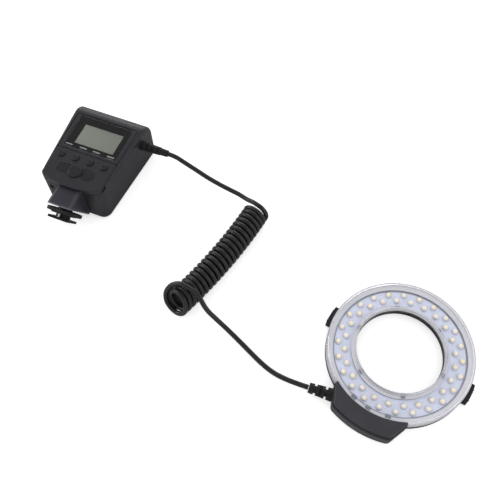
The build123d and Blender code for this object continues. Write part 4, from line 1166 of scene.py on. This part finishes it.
# Where a full turn starts and ends in degrees, and its number of steps
FULL_TURN = (0.0, 360.0, 144)
frosted = moulded(
    "frosted polycarbonate, moulded", "#D6D6DB", "#DCDCE1", "#E4E4E7", 0.9, 0.008, 0.5, 1.3, 0.1
)
band_points, band_faces = curved_bar(*BAND, *FULL_TURN)
piece("bore_band", band_points, band_faces, black_nylon)
lining_points, lining_faces = joined([curved_bar(*lining, *FULL_TURN) for lining in LININGS])
piece("frosted_lining", lining_points, lining_faces, frosted)
lugs = [curved_bar(*LUG, angle - LUG_HALF_ANGLE, angle + LUG_HALF_ANGLE, 4) for angle in LUG_ANGLES]
lug_points, lug_faces = joined(lugs)
piece("cover_lugs", lug_points, lug_faces, smoke_nylon)
print("band faces", len(band_faces), "linings", len(LININGS), "lugs", len(lugs))

# %% [markdown]
# ## Window print
# Behind the window a dark border is screen-printed, with a clear opening for the display, and four
# small pale bars above the small buttons. On the real window these are words, which this part leaves
# out. The print is a flat frame a few hundredths of a millimetre thick, laid just inside the window's
# back.

# %% A flat frame and four bars
def on_panel(points):
    """Panel coordinates in mm, turned and moved to where the panel lies on the table."""
    points = np.asarray(points, float)
    level = points[:, :1] * panel_x + points[:, 1:2] * panel_y
    return PANEL_PLACE + level + points[:, 2:3] * np.array([0.0, 0.0, 1.0])


def rectangle(x0, x1, y0, y1, z):
    """Four corners, anticlockwise from the lower left."""
    return np.array([[x0, y0, z], [x1, y0, z], [x1, y1, z], [x0, y1, z]], float)


def slab(x0, x1, y0, y1, z0, z1):
    """Eight corners and six faces of a thin printed bar."""
    points = np.concatenate([rectangle(x0, x1, y0, y1, z0), rectangle(x0, x1, y0, y1, z1)])
    faces = [[3, 2, 1, 0], [4, 5, 6, 7]]
    faces += [[k, (k + 1) % 4, (k + 1) % 4 + 4, k + 4] for k in range(4)]
    return points, faces


PRINT_LOW = 40.13
PRINT_HIGH = 40.17
BAR_MIDDLES = (-20.9, -6.9, 5.8, 19.6)
BAR_HALF = 3.4
BAR_Y = (33.3, 34.3)
BAR_Z = (PRINT_HIGH + 0.01, PRINT_HIGH + 0.03)
outer = (-25.3, 25.3, 31.2, 66.0)
inner = (
    SCREEN_X - SCREEN_HALF_W,
    SCREEN_X + SCREEN_HALF_W,
    SCREEN_Y - SCREEN_HALF_H,
    SCREEN_Y + SCREEN_HALF_H,
)
frame_points = [rectangle(*edge, z) for z in (PRINT_LOW, PRINT_HIGH) for edge in (outer, inner)]
frame_faces = []
for k in range(4):
    after = (k + 1) % 4
    frame_faces += [
        [k + 4, after + 4, after, k],
        [k + 8, after + 8, after + 12, k + 12],
        [k, after, after + 8, k + 8],
        [k + 12, after + 12, after + 4, k + 4],
    ]
piece("window_print", on_panel(np.concatenate(frame_points)), frame_faces, border_ink)
bars = [slab(x - BAR_HALF, x + BAR_HALF, *BAR_Y, *BAR_Z) for x in BAR_MIDDLES]
bar_points, bar_faces = joined(bars)
piece("window_bars", on_panel(bar_points), bar_faces, pale_ink)
print("window print", len(frame_faces), "faces,", len(bars), "bars")
